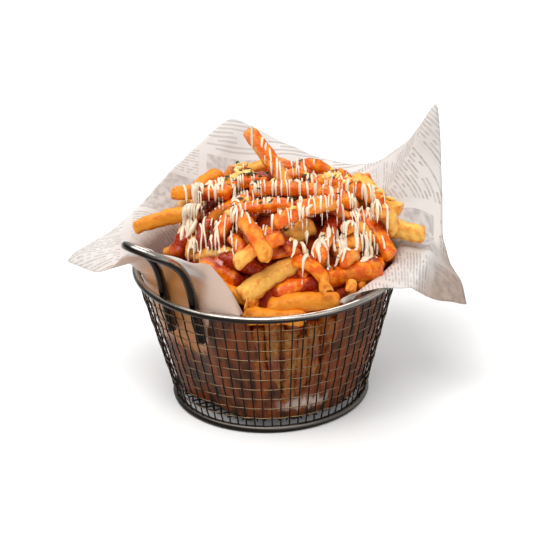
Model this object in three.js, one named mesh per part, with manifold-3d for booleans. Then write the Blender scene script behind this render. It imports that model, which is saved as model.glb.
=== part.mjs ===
// A portion of thick french fries under sauce and mayonnaise, heaped in a round wire basket
// that is lined with a square sheet of printed paper. Millimetres, +Z up; the basket stands on
// its foot ring. Azimuths are in degrees from +X towards +Y, and the front faces -Y.
import * as THREE from "three";
import { mergeVertices } from "three/addons/utils/BufferGeometryUtils.js";
import { ParametricGeometry } from "three/addons/geometries/ParametricGeometry.js";
import Module from "manifold-3d";

// The basket
const RIM_DIAMETER = 150;
const RIM_WIRE = 4;
const BASKET_HEIGHT = 80;
const FOOT_DIAMETER = 111;
const FOOT_WIRE = 4;
const UPRIGHT_COUNT = 72;
const HOOP_COUNT = 10;
const MESH_WIRE = 1.2;
const RING_SEGMENTS = 36;
const RING_SIDES = 6;
const HOOP_SEGMENTS = 26;
const HOOP_WIRE = 0.7;
// The first and last hoop's distance from the wall's ends, in spacings
const HOOP_END_SPACES = 0.8;
// The upright strip where the mesh's two ends lap
const LAP_WIDTH = 4;
const LAP_AZIMUTH = 97.5;
const FLOOR_PITCH = 14;
const FLOOR_RADIUS = 50.5;
const FLOOR_BORDER = 1.8;
const FLOOR_HEIGHT = 5.2;
const FLOOR_WIRE = 1.2;
const FLOOR_SEGMENTS = 36;
const GAP = 0.35;

// The handle: one wire bent to a loop, its legs inside the wall on the front's left
const HANDLE_AZIMUTH = -135.8;
const HANDLE_WIRE = 5;
const HANDLE_WIDTH = 23.6;
// How far the legs stand from the basket's axis, and how high, from their feet to the outer bend
const HANDLE_LEG = [
  [62.2, 56], [66.8, 77.5], [69.2, 89.7], [72.2, 98], [76.5, 104.4], [82, 109.4], [88, 113.6],
];
const HANDLE_SLOPE = 33;
const HANDLE_SIDES = 6;
const HANDLE_STEPS = 34;
const HANDLE_BEND_POINTS = 5;

// The paper: how far it stands inside the wall, and how thick it is
const PAPER_THICKNESS = 0.7;
const PAPER_GAP = 4.3;
const PAPER_DENT = 5;
const PAPER_DENT_WIDTH = 24;
const PAPER_FLOOR = 7.6;
// Where the sheet turns up from the floor, and how far its corner is drawn in there
const PAPER_LOW = 11.6;
const PAPER_CORNER = 1.5;
const PAPER_CORNER_WIDTH = 5;
// The greatest height at which the sheet leaves the wall, and how sharply it then bends over
const PAPER_BEND = 79;
const PAPER_LIFT = 14;
const PAPER_LIFT_SHARE = 0.5;
// The sheet's edge, once round: azimuth, distance from the axis, height
const PAPER_EDGE = [
  { at: "right corner", azimuth: -7.8, reach: 111, height: 56 },
  { at: "right flap", azimuth: 2.2, reach: 105, height: 66.5 },
  { at: "notch between the right corners", azimuth: 17.7, reach: 105, height: 72 },
  { at: "side of the back right corner", azimuth: 25.3, reach: 112, height: 101 },
  { at: "back right corner", azimuth: 31.2, reach: 115.5, height: 146 },
  { at: "slope behind it", azimuth: 44.7, reach: 111, height: 112 },
  { at: "valley at the back", azimuth: 54.3, reach: 106, height: 99 },
  { at: "middle of the back", azimuth: 81.4, reach: 104, height: 106 },
  { at: "back left corner", azimuth: 99.3, reach: 111.5, height: 122 },
  { at: "slope left of it", azimuth: 121.4, reach: 94, height: 107 },
  { at: "left side", azimuth: 148.7, reach: 88.5, height: 91 },
  { at: "left corner", azimuth: 175.9, reach: 112, height: 78.5 },
  { at: "under the left corner", azimuth: 182.4, reach: 95, height: 77.5 },
  { at: "fold left of the handle", azimuth: 190.3, reach: 81, height: 83.5 },
  { at: "lip left of the handle", azimuth: 199, reach: 67, height: 100 },
  { at: "lip behind the handle", azimuth: 219, reach: 64.5, height: 104 },
  { at: "lip right of the handle", azimuth: 239.5, reach: 62.7, height: 104.5 },
  { at: "front fold", azimuth: 251.7, reach: 64.2, height: 91 },
  { at: "front fold at the rim", azimuth: 259.4, reach: 65.5, height: 74 },
  { at: "left of the front", azimuth: 267, reach: 60, height: 46 },
  { at: "lowest place at the front", azimuth: 281, reach: 54, height: 21 },
  { at: "right of the front", azimuth: 297, reach: 60, height: 44 },
  { at: "inside the rim on the right", azimuth: 306.5, reach: 67, height: 80.5 },
  { at: "over the rim on the right", azimuth: 318.5, reach: 77, height: 83.5 },
  { at: "under the right corner", azimuth: 333.3, reach: 84, height: 75 },
  { at: "lower side of the right corner", azimuth: 342.4, reach: 95, height: 65.5 },
];
const PAPER_STEP = 7.2;
const PAPER_WAVE = 1.6;
const PAPER_WAVES = 9;
const PAPER_WAVE_REACH = 25;

// The heap of fries
const FRY_THICKNESS = 8;
const FRY_SIDES = 4;
const FRY_RINGS = 4;
const HEAP_TOP = [15, 6, 114];
const HEAP_SPREAD = 62;
const HEAP_FULLNESS = 0.75;
const HEAP_SHOULDER = 76;
const HEAP_FLOOR = 8.8;
const HEAP_CLEARANCE = 0.4;
// Corners closer together than this become one
const SLIVER = 0.03;
// How far the bare heap stays inside the paper, at its foot and above it
const HEAP_FOOT_TUCK = 12;
const HEAP_TUCK = 2.4;
const HEAP_LUMP = 1.6;
const HEAP_LUMPS = 5;
// How far the paper behind the handle holds the heap back, and over what angle
const HEAP_HELD = 6;
const HEAP_HELD_WIDTH = 36;
// How far from the axis a fry may reach at the rim, from what height it may reach further,
// how much further for each millimetre, and how far in all
const END_REACH = 61;
const END_HEIGHT = 86;
const END_RISE = 1.1;
const END_MORE = 16;
const RANDOM_SEED = 11;
const SCATTERED_FRIES = 30;
const SCATTERED_HALF_LENGTH = [19, 31];
const SCATTERED_BEND = [1, 4.5];
const SCATTERED_RISE = [1, 4];
const SCATTERED_WIDTH = [7.3, 8.7];
// Fries that stand against the bare mesh: over what azimuths, round what middle, how far inside
const WALL_FRIES = 6;
const WALL_FRY_AZIMUTHS = [269, 295];
const WALL_FRY_MIDDLE = 281;
const WALL_FRY_GAP = 6.2;
const WALL_FRY_WIDTH = 7.2;
const WALL_FRY_LOW = 30;
const WALL_FRY_HIGH = 70;
const DRIZZLE_THICKNESS = 2.6;
// The fries that the heap is known by, from end to end
const NAMED_FRIES = [
  {
    at: "raised at the back", from: [17, 5, 111], to: [-9, 27, 147],
    bend: 2, width: 8.2, taper: 0.15, drizzled: true,
  },
  { at: "stub on the left", from: [-18, 12, 116], to: [-52, 18, 114], drizzled: true },
  { at: "low on the left", from: [-36, 7, 107], to: [-73, 4, 99.5], bend: 1.5, width: 7.4 },
  { at: "end on the right", from: [52, 7, 99], to: [88, 2, 90.5], width: 9 },
  { at: "short end on the right", from: [52, 18, 106], to: [76, 13, 101.5] },
  {
    at: "under sauce by the rim", from: [29, -44, 89], to: [66, -21, 88],
    width: 10.5, bend: 3.5, drizzled: true,
  },
  { at: "level at the front", from: [-2, -57.5, 81.5], to: [38, -52, 82], width: 9, bend: 2.5 },
  { at: "slanting at the front", from: [-13, -55, 84.5], to: [21, -33, 94], width: 8.6, bend: 2 },
  { at: "lowest at the front", from: [-13, -62, 77], to: [12, -62, 75.5], width: 7.6 },
  { at: "left of the middle", from: [-29, -26, 98], to: [-8, 2, 117], bend: 3, drizzled: true },
  { at: "across the top", from: [-8, 4, 120], to: [48, -8, 116], bend: 4, drizzled: true },
  { at: "right of the top", from: [22, 14, 119], to: [66, 12, 107], bend: 4, width: 8.6, drizzled: true },
];

const metal = (name, colour, roughness) =>
  new THREE.MeshStandardMaterial({ name, color: colour, metalness: 1, roughness });
const STEEL = metal("steel", 0x8f8880, 0.2);
const DARK_STEEL = metal("dark steel", 0x5e5750, 0.28);
const PAPER = new THREE.MeshStandardMaterial({
  name: "paper", color: 0xe2d6ca, roughness: 0.75, metalness: 0, side: THREE.DoubleSide,
});
const FRIES = new THREE.MeshStandardMaterial({
  name: "fries", color: 0xe09a3c, roughness: 0.5, metalness: 0,
});

const wasm = await Module();
wasm.setup();

const radians = (degrees) => (degrees * Math.PI) / 180;
const mix = (a, b, t) => a + (b - a) * t;
const clamp = (x, low, high) => Math.min(high, Math.max(low, x));
const smooth = (x) => x * x * (3 - 2 * x);

// A point at an azimuth, a distance from the basket's axis and a height
function polar(azimuth, reach, height) {
  const a = radians(azimuth);
  return new THREE.Vector3(reach * Math.cos(a), reach * Math.sin(a), height);
}

// A repeatable stream of numbers from 0 to 1; within() takes the next one into a range
function randomStream(seed) {
  let state = seed;
  return () => {
    state = (state * 1664525 + 1013904223) % 4294967296;
    return state / 4294967296;
  };
}

// The closed solid of a three.js geometry
function solid(geometry) {
  const bare = geometry.index ? geometry.toNonIndexed() : geometry.clone();
  const points = new THREE.BufferGeometry().setAttribute("position", bare.getAttribute("position"));
  const merged = mergeVertices(points, 1e-3);
  const index = merged.index.array;
  const corners = [];
  for (let i = 0; i < index.length; i += 3) {
    const [a, b, c] = [index[i], index[i + 1], index[i + 2]];
    if (a !== b && b !== c && c !== a) corners.push(a, b, c);
  }
  return new wasm.Manifold(
    new wasm.Mesh({
      numProp: 3,
      vertProperties: merged.attributes.position.array,
      triVerts: new Uint32Array(corners),
    }),
  );
}

// The geometry of a closed solid
function geometryOf(body) {
  const mesh = body.getMesh();
  const positions = new Float32Array(mesh.numVert * 3);
  for (let i = 0; i < mesh.numVert; i++) {
    positions.set(mesh.vertProperties.subarray(i * mesh.numProp, i * mesh.numProp + 3), i * 3);
  }
  return new THREE.BufferGeometry()
    .setAttribute("position", new THREE.BufferAttribute(positions, 3))
    .setIndex(new THREE.BufferAttribute(mesh.triVerts, 1));
}

const within = (random, [low, high]) => mix(low, high, random());

function node(name, geometry, material) {
  const mesh = new THREE.Mesh(geometry, material);
  mesh.name = name;
  return mesh;
}

// A ring round the Z axis: a closed outline of [distance, height] points, turned once round
function turned(outline, segments) {
  const points = [...outline, outline[0]].map(([r, z]) => new THREE.Vector2(r, z));
  return new THREE.LatheGeometry(points, segments).rotateX(Math.PI / 2);
}

// The outline of a wire with a flat underside: a regular polygon, its thickness across the flats
function wireOutline(radius, height, thickness, sides) {
  const reach = thickness / 2 / Math.cos(Math.PI / sides);
  return Array.from({ length: sides }, (_, i) => {
    const a = (2 * Math.PI * (i + 0.5)) / sides;
    return [radius + reach * Math.sin(a), height - reach * Math.cos(a)];
  });
}

// The mesh wall is a cone from the foot ring to the rim: its middle radius at a height
const rimRadius = (RIM_DIAMETER - RIM_WIRE) / 2;
const rimHeight = BASKET_HEIGHT - RIM_WIRE / 2;
const footRadius = (FOOT_DIAMETER - FOOT_WIRE) / 2;
const footHeight = FOOT_WIRE / 2;
const wallSlope = (rimRadius - footRadius) / (rimHeight - footHeight);
const wallRadius = (height) => footRadius + wallSlope * (height - footHeight);
const wallLow = FOOT_WIRE + GAP;
const wallHigh = BASKET_HEIGHT - RIM_WIRE - GAP;

// Uprights: a conical shell with a slot between each pair of neighbours, and a band at each end
function uprights() {
  const half = MESH_WIRE / 2;
  const shell = solid(turned([
    [wallRadius(wallLow) - half, wallLow],
    [wallRadius(wallLow) + half, wallLow],
    [wallRadius(wallHigh) + half, wallHigh],
    [wallRadius(wallHigh) - half, wallHigh],
  ], UPRIGHT_COUNT));
  const low = wallLow + MESH_WIRE;
  const high = wallHigh - MESH_WIRE;
  const slotHalf = (height) => (Math.PI * wallRadius(height)) / UPRIGHT_COUNT - half;
  const margin = 5;
  const slotDepth = wallRadius(high) - wallRadius(low) + 2 * margin;
  const slot = new THREE.Shape([
    new THREE.Vector2(-slotHalf(low), low),
    new THREE.Vector2(slotHalf(low), low),
    new THREE.Vector2(slotHalf(high), high),
    new THREE.Vector2(-slotHalf(high), high),
  ]);
  // The slot stands upright and runs outwards along +X, through one side of the shell
  const cutter = new THREE.ExtrudeGeometry(slot, { depth: slotDepth, bevelEnabled: false });
  cutter.rotateX(Math.PI / 2).rotateZ(Math.PI / 2).translate(wallRadius(low) - margin, 0, 0);
  let wall = shell;
  for (let i = 0; i < UPRIGHT_COUNT; i++) {
    const azimuth = (360 * (i + 0.5)) / UPRIGHT_COUNT;
    wall = wall.subtract(solid(cutter.clone().rotateZ(radians(azimuth))));
  }
  return wall;
}

// Hoops: level rings outside the uprights, joined at the back by the strip where the mesh laps
function hoops() {
  const segments = HOOP_SEGMENTS;
  const sagitta = wallRadius(wallHigh) * (1 - Math.cos(Math.PI / segments));
  const middle = (height) => wallRadius(height) + MESH_WIRE + GAP + sagitta;
  const spacing = (wallHigh - wallLow) / (HOOP_COUNT - 1 + 2 * HOOP_END_SPACES);
  const levels = Array.from({ length: HOOP_COUNT }, (_, i) => wallLow + spacing * (i + HOOP_END_SPACES));
  const first = levels[0];
  const last = levels[HOOP_COUNT - 1];
  const strip = new THREE.BoxGeometry(
    MESH_WIRE, LAP_WIDTH, Math.hypot(last - first, middle(last) - middle(first)) + MESH_WIRE,
  );
  strip.rotateY(Math.atan(wallSlope));
  strip.translate((middle(first) + middle(last)) / 2, 0, (first + last) / 2);
  strip.rotateZ(radians(LAP_AZIMUTH));
  let joined = solid(strip);
  for (const height of levels) {
    joined = joined.add(solid(turned(wireOutline(middle(height), height, HOOP_WIRE, 3), segments)));
  }
  return joined;
}

// The floor: a round plate with a square hole between each pair of wires, cut off by its border
function floorMesh() {
  const round = (radius, depth) =>
    solid(new THREE.CylinderGeometry(radius, radius, depth, FLOOR_SEGMENTS)
      .rotateX(Math.PI / 2).translate(0, 0, FLOOR_HEIGHT + FLOOR_WIRE / 2));
  const inner = FLOOR_RADIUS - FLOOR_BORDER;
  const opening = round(inner, 3 * FLOOR_WIRE);
  const reach = Math.ceil(FLOOR_RADIUS / FLOOR_PITCH);
  const side = FLOOR_PITCH - FLOOR_WIRE;
  let floor = round(FLOOR_RADIUS, FLOOR_WIRE);
  for (let i = -reach; i < reach; i++) {
    for (let j = -reach; j < reach; j++) {
      const x = (i + 0.5) * FLOOR_PITCH;
      const y = (j + 0.5) * FLOOR_PITCH;
      if (Math.hypot(x, y) > inner) continue;
      const hole = new THREE.BoxGeometry(side, side, 4 * FLOOR_WIRE).translate(x, y, FLOOR_HEIGHT);
      floor = floor.subtract(solid(hole).intersect(opening));
    }
  }
  return floor;
}

// The handle's loop: up one leg, round the outer end and down the other
function handle() {
  const side = HANDLE_WIDTH / 2;
  const last = HANDLE_LEG[HANDLE_LEG.length - 1];
  const points = HANDLE_LEG.map(([r, z]) => new THREE.Vector3(r, -side, z));
  for (let i = 1; i <= HANDLE_BEND_POINTS; i++) {
    const turn = -Math.PI / 2 + (Math.PI * i) / (HANDLE_BEND_POINTS + 1);
    const out = side * Math.cos(turn);
    points.push(new THREE.Vector3(
      last[0] + out * Math.cos(radians(HANDLE_SLOPE)),
      side * Math.sin(turn),
      last[1] + out * Math.sin(radians(HANDLE_SLOPE)),
    ));
  }
  points.push(...HANDLE_LEG.map(([r, z]) => new THREE.Vector3(r, side, z)).reverse());
  const path = new THREE.CatmullRomCurve3(points, false, "centripetal");
  const section = new THREE.Shape(
    Array.from({ length: HANDLE_SIDES }, (_, i) => {
      const a = (2 * Math.PI * i) / HANDLE_SIDES;
      return new THREE.Vector2((HANDLE_WIRE / 2) * Math.cos(a), (HANDLE_WIRE / 2) * Math.sin(a));
    }),
  );
  const settings = { steps: HANDLE_STEPS, extrudePath: path, bevelEnabled: false };
  return solid(new THREE.ExtrudeGeometry(section, settings).rotateZ(radians(HANDLE_AZIMUTH)));
}

// The paper's edge as points along straight sides between the named places
function edgePoints() {
  const points = [];
  PAPER_EDGE.forEach((place, i) => {
    const next = PAPER_EDGE[(i + 1) % PAPER_EDGE.length];
    const from = polar(place.azimuth, place.reach, place.height);
    const to = polar(next.azimuth, next.reach, next.height);
    const sweep = (next.azimuth - place.azimuth + 360) % 360;
    const steps = Math.max(2, Math.round(sweep / PAPER_STEP));
    for (let k = 0; k < steps; k++) points.push(from.clone().lerp(to, k / steps));
  });
  return points;
}
const paperEdge = edgePoints();

// The angle between two azimuths, from -180 to 180 degrees
const turnBetween = (a, b) => ((((a - b + 180) % 360) + 360) % 360) - 180;

// The paper's radius inside the wall, drawn in behind the handle's legs
function paperRadius(azimuth, height) {
  const fromHandle = turnBetween(azimuth, HANDLE_AZIMUTH) / PAPER_DENT_WIDTH;
  return wallRadius(height) - PAPER_GAP - PAPER_DENT * Math.exp(-(fromHandle ** 2));
}

const FLOOR_ROWS = 1;
const CORNER_ROWS = 1;
const WALL_ROWS = 2;
const FLARE_ROWS = 4;
const PAPER_ROWS = FLOOR_ROWS + CORNER_ROWS + WALL_ROWS + FLARE_ROWS;

// A point of the sheet's middle surface: a column of the edge, a row from the middle to the edge
function paperPoint(column, row) {
  const edge = paperEdge[column % paperEdge.length];
  const azimuth = (Math.atan2(edge.y, edge.x) * 180) / Math.PI;
  const reach = Math.hypot(edge.x, edge.y);
  const low = PAPER_LOW;
  const overRim = reach > rimRadius - RIM_WIRE;
  const high = overRim ? PAPER_BEND : clamp(edge.z - PAPER_CORNER, low + 2 * PAPER_CORNER, PAPER_BEND);
  const inner = paperRadius(azimuth, low) - PAPER_CORNER;
  if (row <= FLOOR_ROWS) {
    return polar(azimuth, ((inner - PAPER_CORNER_WIDTH) * row) / FLOOR_ROWS, PAPER_FLOOR);
  }
  if (row === FLOOR_ROWS + CORNER_ROWS) return polar(azimuth, inner, low);
  const wallRow = row - FLOOR_ROWS - CORNER_ROWS;
  if (wallRow <= WALL_ROWS) {
    const height = mix(low, high, wallRow / WALL_ROWS);
    return polar(azimuth, paperRadius(azimuth, height), height);
  }
  // Beyond the wall the sheet bends over in a curve to its edge
  const t = (wallRow - WALL_ROWS) / FLARE_ROWS;
  const start = paperRadius(azimuth, high);
  const lift = clamp((reach - start) * PAPER_LIFT_SHARE, PAPER_LIFT_SHARE, PAPER_LIFT);
  const r = (1 - t) ** 2 * start + 2 * t * (1 - t) * (start + wallSlope * lift) + t * t * reach;
  const z = (1 - t) ** 2 * high + 2 * t * (1 - t) * (high + lift) + t * t * edge.z;
  const out = clamp((reach - start) / PAPER_WAVE_REACH, 0, 1);
  const ripple = Math.sin(radians(azimuth * PAPER_WAVES) + 5 * t);
  const wave = PAPER_WAVE * out * Math.sin(Math.PI * t) * ripple;
  return polar(azimuth, r, z + wave);
}

// The sheet as a closed solid: out over its under face, and back over its upper one; its edge
// may be moved out a little
function paperSheet(thickness, more = 0) {
  const columns = paperEdge.length;
  const rows = 2 * PAPER_ROWS + 1;
  const across = new THREE.Vector3();
  const along = new THREE.Vector3();
  const surface = (u, v, target) => {
    const column = Math.round(u * columns) % columns;
    const step = Math.round(v * rows);
    const under = step <= PAPER_ROWS;
    const row = under ? step : rows - step;
    const point = paperPoint(column, row);
    if (row === 0) across.set(0, 0, 1);
    else {
      const before = paperPoint(column, Math.max(row - 1, 1));
      const after = paperPoint(column, Math.min(row + 1, PAPER_ROWS));
      if (row === 1) before.set(0, 0, PAPER_FLOOR);
      along.subVectors(after, before);
      across.subVectors(paperPoint(column + 1, row), paperPoint(column + columns - 1, row)).cross(along);
      across.normalize().negate();
    }
    if (row === PAPER_ROWS) point.addScaledVector(along.normalize(), more);
    target.copy(point).addScaledVector(across, (under ? -0.5 : 0.5) * thickness);
  };
  return solid(new ParametricGeometry(surface, columns, rows));
}

// A bent stick of square section between two ends; the bend is how far its middle rises from
// the line between them, the taper thins its far end, and its ends are a tenth thinner anyway
function fry({ from, to, width = FRY_THICKNESS, bend = 0, roll = 45, taper = 0 }) {
  const start = new THREE.Vector3(...from);
  const along = new THREE.Vector3(...to).sub(start);
  const ahead = along.clone().normalize();
  const side = new THREE.Vector3(0, 0, 1).cross(ahead).normalize();
  const up = ahead.clone().cross(side);
  const rows = FRY_RINGS + 1;
  const surface = (u, v, target) => {
    const row = Math.round(v * rows);
    const tip = row === 0 || row === rows;
    const t = clamp((row - 1) / (FRY_RINGS - 1), 0, 1);
    const half = tip ? 0 : Math.SQRT1_2 * width * (1 - taper * t) * (1 - 0.1 * (2 * t - 1) ** 4);
    const a = radians(roll) + 2 * Math.PI * u;
    target.copy(start).addScaledVector(along, t);
    target.addScaledVector(up, 4 * bend * t * (1 - t) + half * Math.sin(a));
    target.addScaledVector(side, half * Math.cos(a));
  };
  return solid(new ParametricGeometry(surface, FRY_SIDES, rows));
}

// How far the heap is held back at an azimuth
function heldBack(azimuth) {
  return HEAP_HELD * Math.exp(-((turnBetween(azimuth, HANDLE_AZIMUTH) / HEAP_HELD_WIDTH) ** 4));
}

// The bare heap's dome: t runs from the rim to the top, which lies off the basket's axis
function domePoint(azimuth, t) {
  const lean = smooth(t);
  const spread = (HEAP_SPREAD - heldBack(azimuth)) * Math.cos((Math.PI / 2) * t) ** HEAP_FULLNESS;
  const lumps = HEAP_LUMP * Math.sin(radians(azimuth * HEAP_LUMPS) + 9 * t) * Math.sin(Math.PI * t);
  return new THREE.Vector3(
    HEAP_TOP[0] * lean + (spread + lumps) * Math.cos(radians(azimuth)),
    HEAP_TOP[1] * lean + (spread + lumps) * Math.sin(radians(azimuth)),
    mix(HEAP_SHOULDER, HEAP_TOP[2], Math.sin((Math.PI / 2) * t)),
  );
}

// The bare heap: it fills the basket a little inside the wall and domes above the rim
const HEAP_COLUMNS = 24;
const HEAP_SIDE_ROWS = 3;
const HEAP_DOME_ROWS = 6;
function heapCore() {
  const rows = 1 + HEAP_SIDE_ROWS + HEAP_DOME_ROWS;
  const surface = (u, v, target) => {
    const row = Math.round(v * rows);
    const azimuth = 360 * u;
    if (row === 0) return target.set(0, 0, HEAP_FLOOR);
    if (row > HEAP_SIDE_ROWS) {
      return target.copy(domePoint(azimuth, (row - 1 - HEAP_SIDE_ROWS) / HEAP_DOME_ROWS));
    }
    const height = mix(HEAP_FLOOR, HEAP_SHOULDER, (row - 1) / HEAP_SIDE_ROWS);
    const tuck = row === 1 ? HEAP_FOOT_TUCK : HEAP_TUCK;
    return target.copy(polar(azimuth, paperRadius(azimuth, height) - tuck, height));
  };
  return solid(new ParametricGeometry(surface, HEAP_COLUMNS, rows));
}

// How far from the axis a fry's end may reach, to stay clear of the rim and the paper
function endReach(end) {
  const held = heldBack((Math.atan2(end.y, end.x) * 180) / Math.PI);
  return END_REACH - held + clamp((end.z - END_HEIGHT) * END_RISE, 0, END_MORE * (1 - held / HEAP_HELD));
}

// Moves an end back along its fry, an eighth at a time, until it is clear
function drawnIn(end, middle) {
  for (let i = 0; i < 12 && Math.hypot(end.x, end.y) > endReach(end); i++) end.lerp(middle, 0.125);
  return end;
}

// Fries spread evenly over the dome by a spiral with the golden angle, each turned at random:
// near the rim they lie almost level, near the top they point any way
const GOLDEN_ANGLE = 137.508;
function scatteredFries() {
  const random = randomStream(RANDOM_SEED);
  return Array.from({ length: SCATTERED_FRIES }, (_, i) => {
    const t = 1 - 0.97 * Math.sqrt((i + 0.5) / SCATTERED_FRIES);
    const azimuth = i * GOLDEN_ANGLE + 20 * random();
    const middle = domePoint(azimuth, t);
    const level = domePoint(azimuth + 2, t).sub(domePoint(azimuth - 2, t)).normalize();
    const uphill = domePoint(azimuth, t + 0.02).sub(domePoint(azimuth, t - 0.02)).normalize();
    const out = level.clone().cross(uphill);
    const turn = radians((40 + 60 * t) * (2 * random() - 1));
    const ahead = level.multiplyScalar(Math.cos(turn)).addScaledVector(uphill, Math.sin(turn));
    const half = within(random, SCATTERED_HALF_LENGTH);
    middle.addScaledVector(out, within(random, SCATTERED_RISE));
    return {
      from: drawnIn(middle.clone().addScaledVector(ahead, -half), middle).toArray(),
      to: drawnIn(middle.clone().addScaledVector(ahead, half), middle).toArray(),
      width: within(random, SCATTERED_WIDTH),
      bend: within(random, SCATTERED_BEND),
      roll: 90 * random(),
    };
  });
}

// Fries that stand against the mesh where the paper leaves it bare at the front
function wallFries() {
  const random = randomStream(RANDOM_SEED + 1);
  const against = (azimuth, height) =>
    polar(azimuth, wallRadius(height) - WALL_FRY_GAP, height).toArray();
  return Array.from({ length: WALL_FRIES }, (_, i) => {
    const azimuth = mix(...WALL_FRY_AZIMUTHS, i / (WALL_FRIES - 1));
    const low = WALL_FRY_LOW + 1.5 * Math.abs(azimuth - WALL_FRY_MIDDLE) + 5 * random();
    return {
      from: against(azimuth, low),
      to: against(azimuth + 4 * (random() - 0.5), WALL_FRY_HIGH + 3 * random()),
      width: WALL_FRY_WIDTH,
    };
  });
}

// A thick line of mayonnaise that lies square across the top of a fry
function drizzle({ from, to, width = FRY_THICKNESS, bend = 0 }) {
  const start = new THREE.Vector3(...from);
  const along = new THREE.Vector3(...to).sub(start);
  const side = new THREE.Vector3(0, 0, 1).cross(along).normalize();
  const top = start.addScaledVector(along, 0.5).add(new THREE.Vector3(0, 0, bend + width / 2));
  const reach = width / 2 + DRIZZLE_THICKNESS;
  const low = new THREE.Vector3(0, 0, -DRIZZLE_THICKNESS * 1.2);
  return {
    from: top.clone().addScaledVector(side, -reach).add(low).toArray(),
    to: top.clone().addScaledVector(side, reach).add(low).toArray(),
    width: DRIZZLE_THICKNESS,
    bend: DRIZZLE_THICKNESS,
  };
}

// The heap, cut clear of the paper, the mesh, the rim and the handle
function friesHeap() {
  const lying = [...NAMED_FRIES, ...scatteredFries()];
  const dressed = NAMED_FRIES.filter((one) => one.drizzled).map(drizzle);
  const fries = [...lying, ...wallFries(), ...dressed];
  const clear = HEAP_CLEARANCE;
  const wall = (height) => wallRadius(height) - MESH_WIRE / 2 - clear;
  const outside = 2 * rimRadius;
  const inRim = rimRadius - RIM_WIRE / 2 - clear;
  const basket = solid(turned([
    [wall(0), -5],
    [outside, -5],
    [outside, BASKET_HEIGHT + clear],
    [inRim, BASKET_HEIGHT + clear],
    [inRim, BASKET_HEIGHT - RIM_WIRE - clear],
    [wall(wallHigh), wallHigh],
  ], 60));
  const heap = fries.reduce((body, one) => body.add(fry(one)), heapCore());
  const cut = heap.subtract(basket).subtract(paperSheet(PAPER_THICKNESS + 2 * clear, 3 * clear));
  // Slivers that the cut leaves loose are dropped: the heap is the largest piece
  return cut.simplify(SLIVER).decompose().sort((a, b) => b.volume() - a.volume())[0];
}

const portion = new THREE.Group();
const rimOutline = wireOutline(rimRadius, rimHeight, RIM_WIRE, RING_SIDES);
const footOutline = wireOutline(footRadius, footHeight, FOOT_WIRE, RING_SIDES);
portion.add(
  node("rim_wire", turned(rimOutline, RING_SEGMENTS), STEEL),
  node("foot_ring", turned(footOutline, RING_SEGMENTS), STEEL),
  node("wall_uprights", geometryOf(uprights()), DARK_STEEL),
  node("wall_hoops", geometryOf(hoops()), DARK_STEEL),
  node("floor_mesh", geometryOf(floorMesh()), DARK_STEEL),
  node("handle", geometryOf(handle()), STEEL),
  node("paper_liner", geometryOf(paperSheet(PAPER_THICKNESS)), PAPER),
  node("fries_heap", geometryOf(friesHeap()), FRIES),
);

// The model's origin is the middle of its base
const box = new THREE.Box3().setFromObject(portion, true);
portion.position.set(-(box.min.x + box.max.x) / 2, -(box.min.y + box.max.y) / 2, -box.min.z);

export default portion;
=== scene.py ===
"""The looks of a portion of thick fries under sauce and mayonnaise, in a round wire basket that is
lined with printed paper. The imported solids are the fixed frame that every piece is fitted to.

Shapes are worked out in millimetres from the basket's axis at the level of the table, +Z up and
with the front towards -Y; mesh_piece() puts them into the frame's metres. Azimuths are in degrees
from +X towards +Y.
"""

from functools import lru_cache

import bpy
import numpy as np
from bpy.props import FloatProperty, FloatVectorProperty, IntProperty, PointerProperty
from mathutils import Matrix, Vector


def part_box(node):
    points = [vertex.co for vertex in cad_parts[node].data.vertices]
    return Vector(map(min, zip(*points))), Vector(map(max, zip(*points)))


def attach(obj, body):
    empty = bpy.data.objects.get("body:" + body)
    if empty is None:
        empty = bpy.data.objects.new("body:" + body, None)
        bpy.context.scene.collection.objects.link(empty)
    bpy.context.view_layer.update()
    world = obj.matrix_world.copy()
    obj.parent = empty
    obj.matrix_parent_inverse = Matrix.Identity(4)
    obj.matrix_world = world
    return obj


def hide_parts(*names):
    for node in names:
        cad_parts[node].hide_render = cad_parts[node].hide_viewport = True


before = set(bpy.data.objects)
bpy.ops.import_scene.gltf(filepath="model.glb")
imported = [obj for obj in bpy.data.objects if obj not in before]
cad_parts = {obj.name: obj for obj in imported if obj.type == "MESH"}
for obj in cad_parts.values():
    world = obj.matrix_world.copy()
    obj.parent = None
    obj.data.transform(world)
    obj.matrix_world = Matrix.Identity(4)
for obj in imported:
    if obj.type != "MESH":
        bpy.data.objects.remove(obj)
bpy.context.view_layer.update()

bl_info = {
    "name": "Fries in a wire basket",
    "version": (1, 0, 0),
    "blender": (4, 5, 0),
    "location": "3D View > Sidebar > Fries basket",
    "description": "Dresses the packed solids of a portion of fries in a wire basket",
    "category": "Object",
}

MM = 0.001
TAU = 2 * np.pi

# What the frame gives: the two thick rings, from which the basket's cone follows
rim_low, rim_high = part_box("rim_wire")
foot_low, foot_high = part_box("foot_ring")
AXIS = np.array([(rim_low.x + rim_high.x) / 2, (rim_low.y + rim_high.y) / 2, 0.0])
RIM_WIRE = (rim_high.z - rim_low.z) / MM
FOOT_WIRE = (foot_high.z - foot_low.z) / MM
# A ring's solid has six flats, so its corners stand out further than half its thickness
FLATS_TO_CORNERS = 1 / np.cos(np.pi / 6)
RIM_RADIUS = (rim_high.x - rim_low.x) / 2 / MM - RIM_WIRE / 2 * FLATS_TO_CORNERS
FOOT_RADIUS = (foot_high.x - foot_low.x) / 2 / MM - FOOT_WIRE / 2 * FLATS_TO_CORNERS
RIM_HEIGHT = (rim_high.z + rim_low.z) / 2 / MM
FOOT_HEIGHT = (foot_high.z + foot_low.z) / 2 / MM
BASKET_HEIGHT = rim_high.z / MM
WALL_SLOPE = (RIM_RADIUS - FOOT_RADIUS) / (RIM_HEIGHT - FOOT_HEIGHT)

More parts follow.
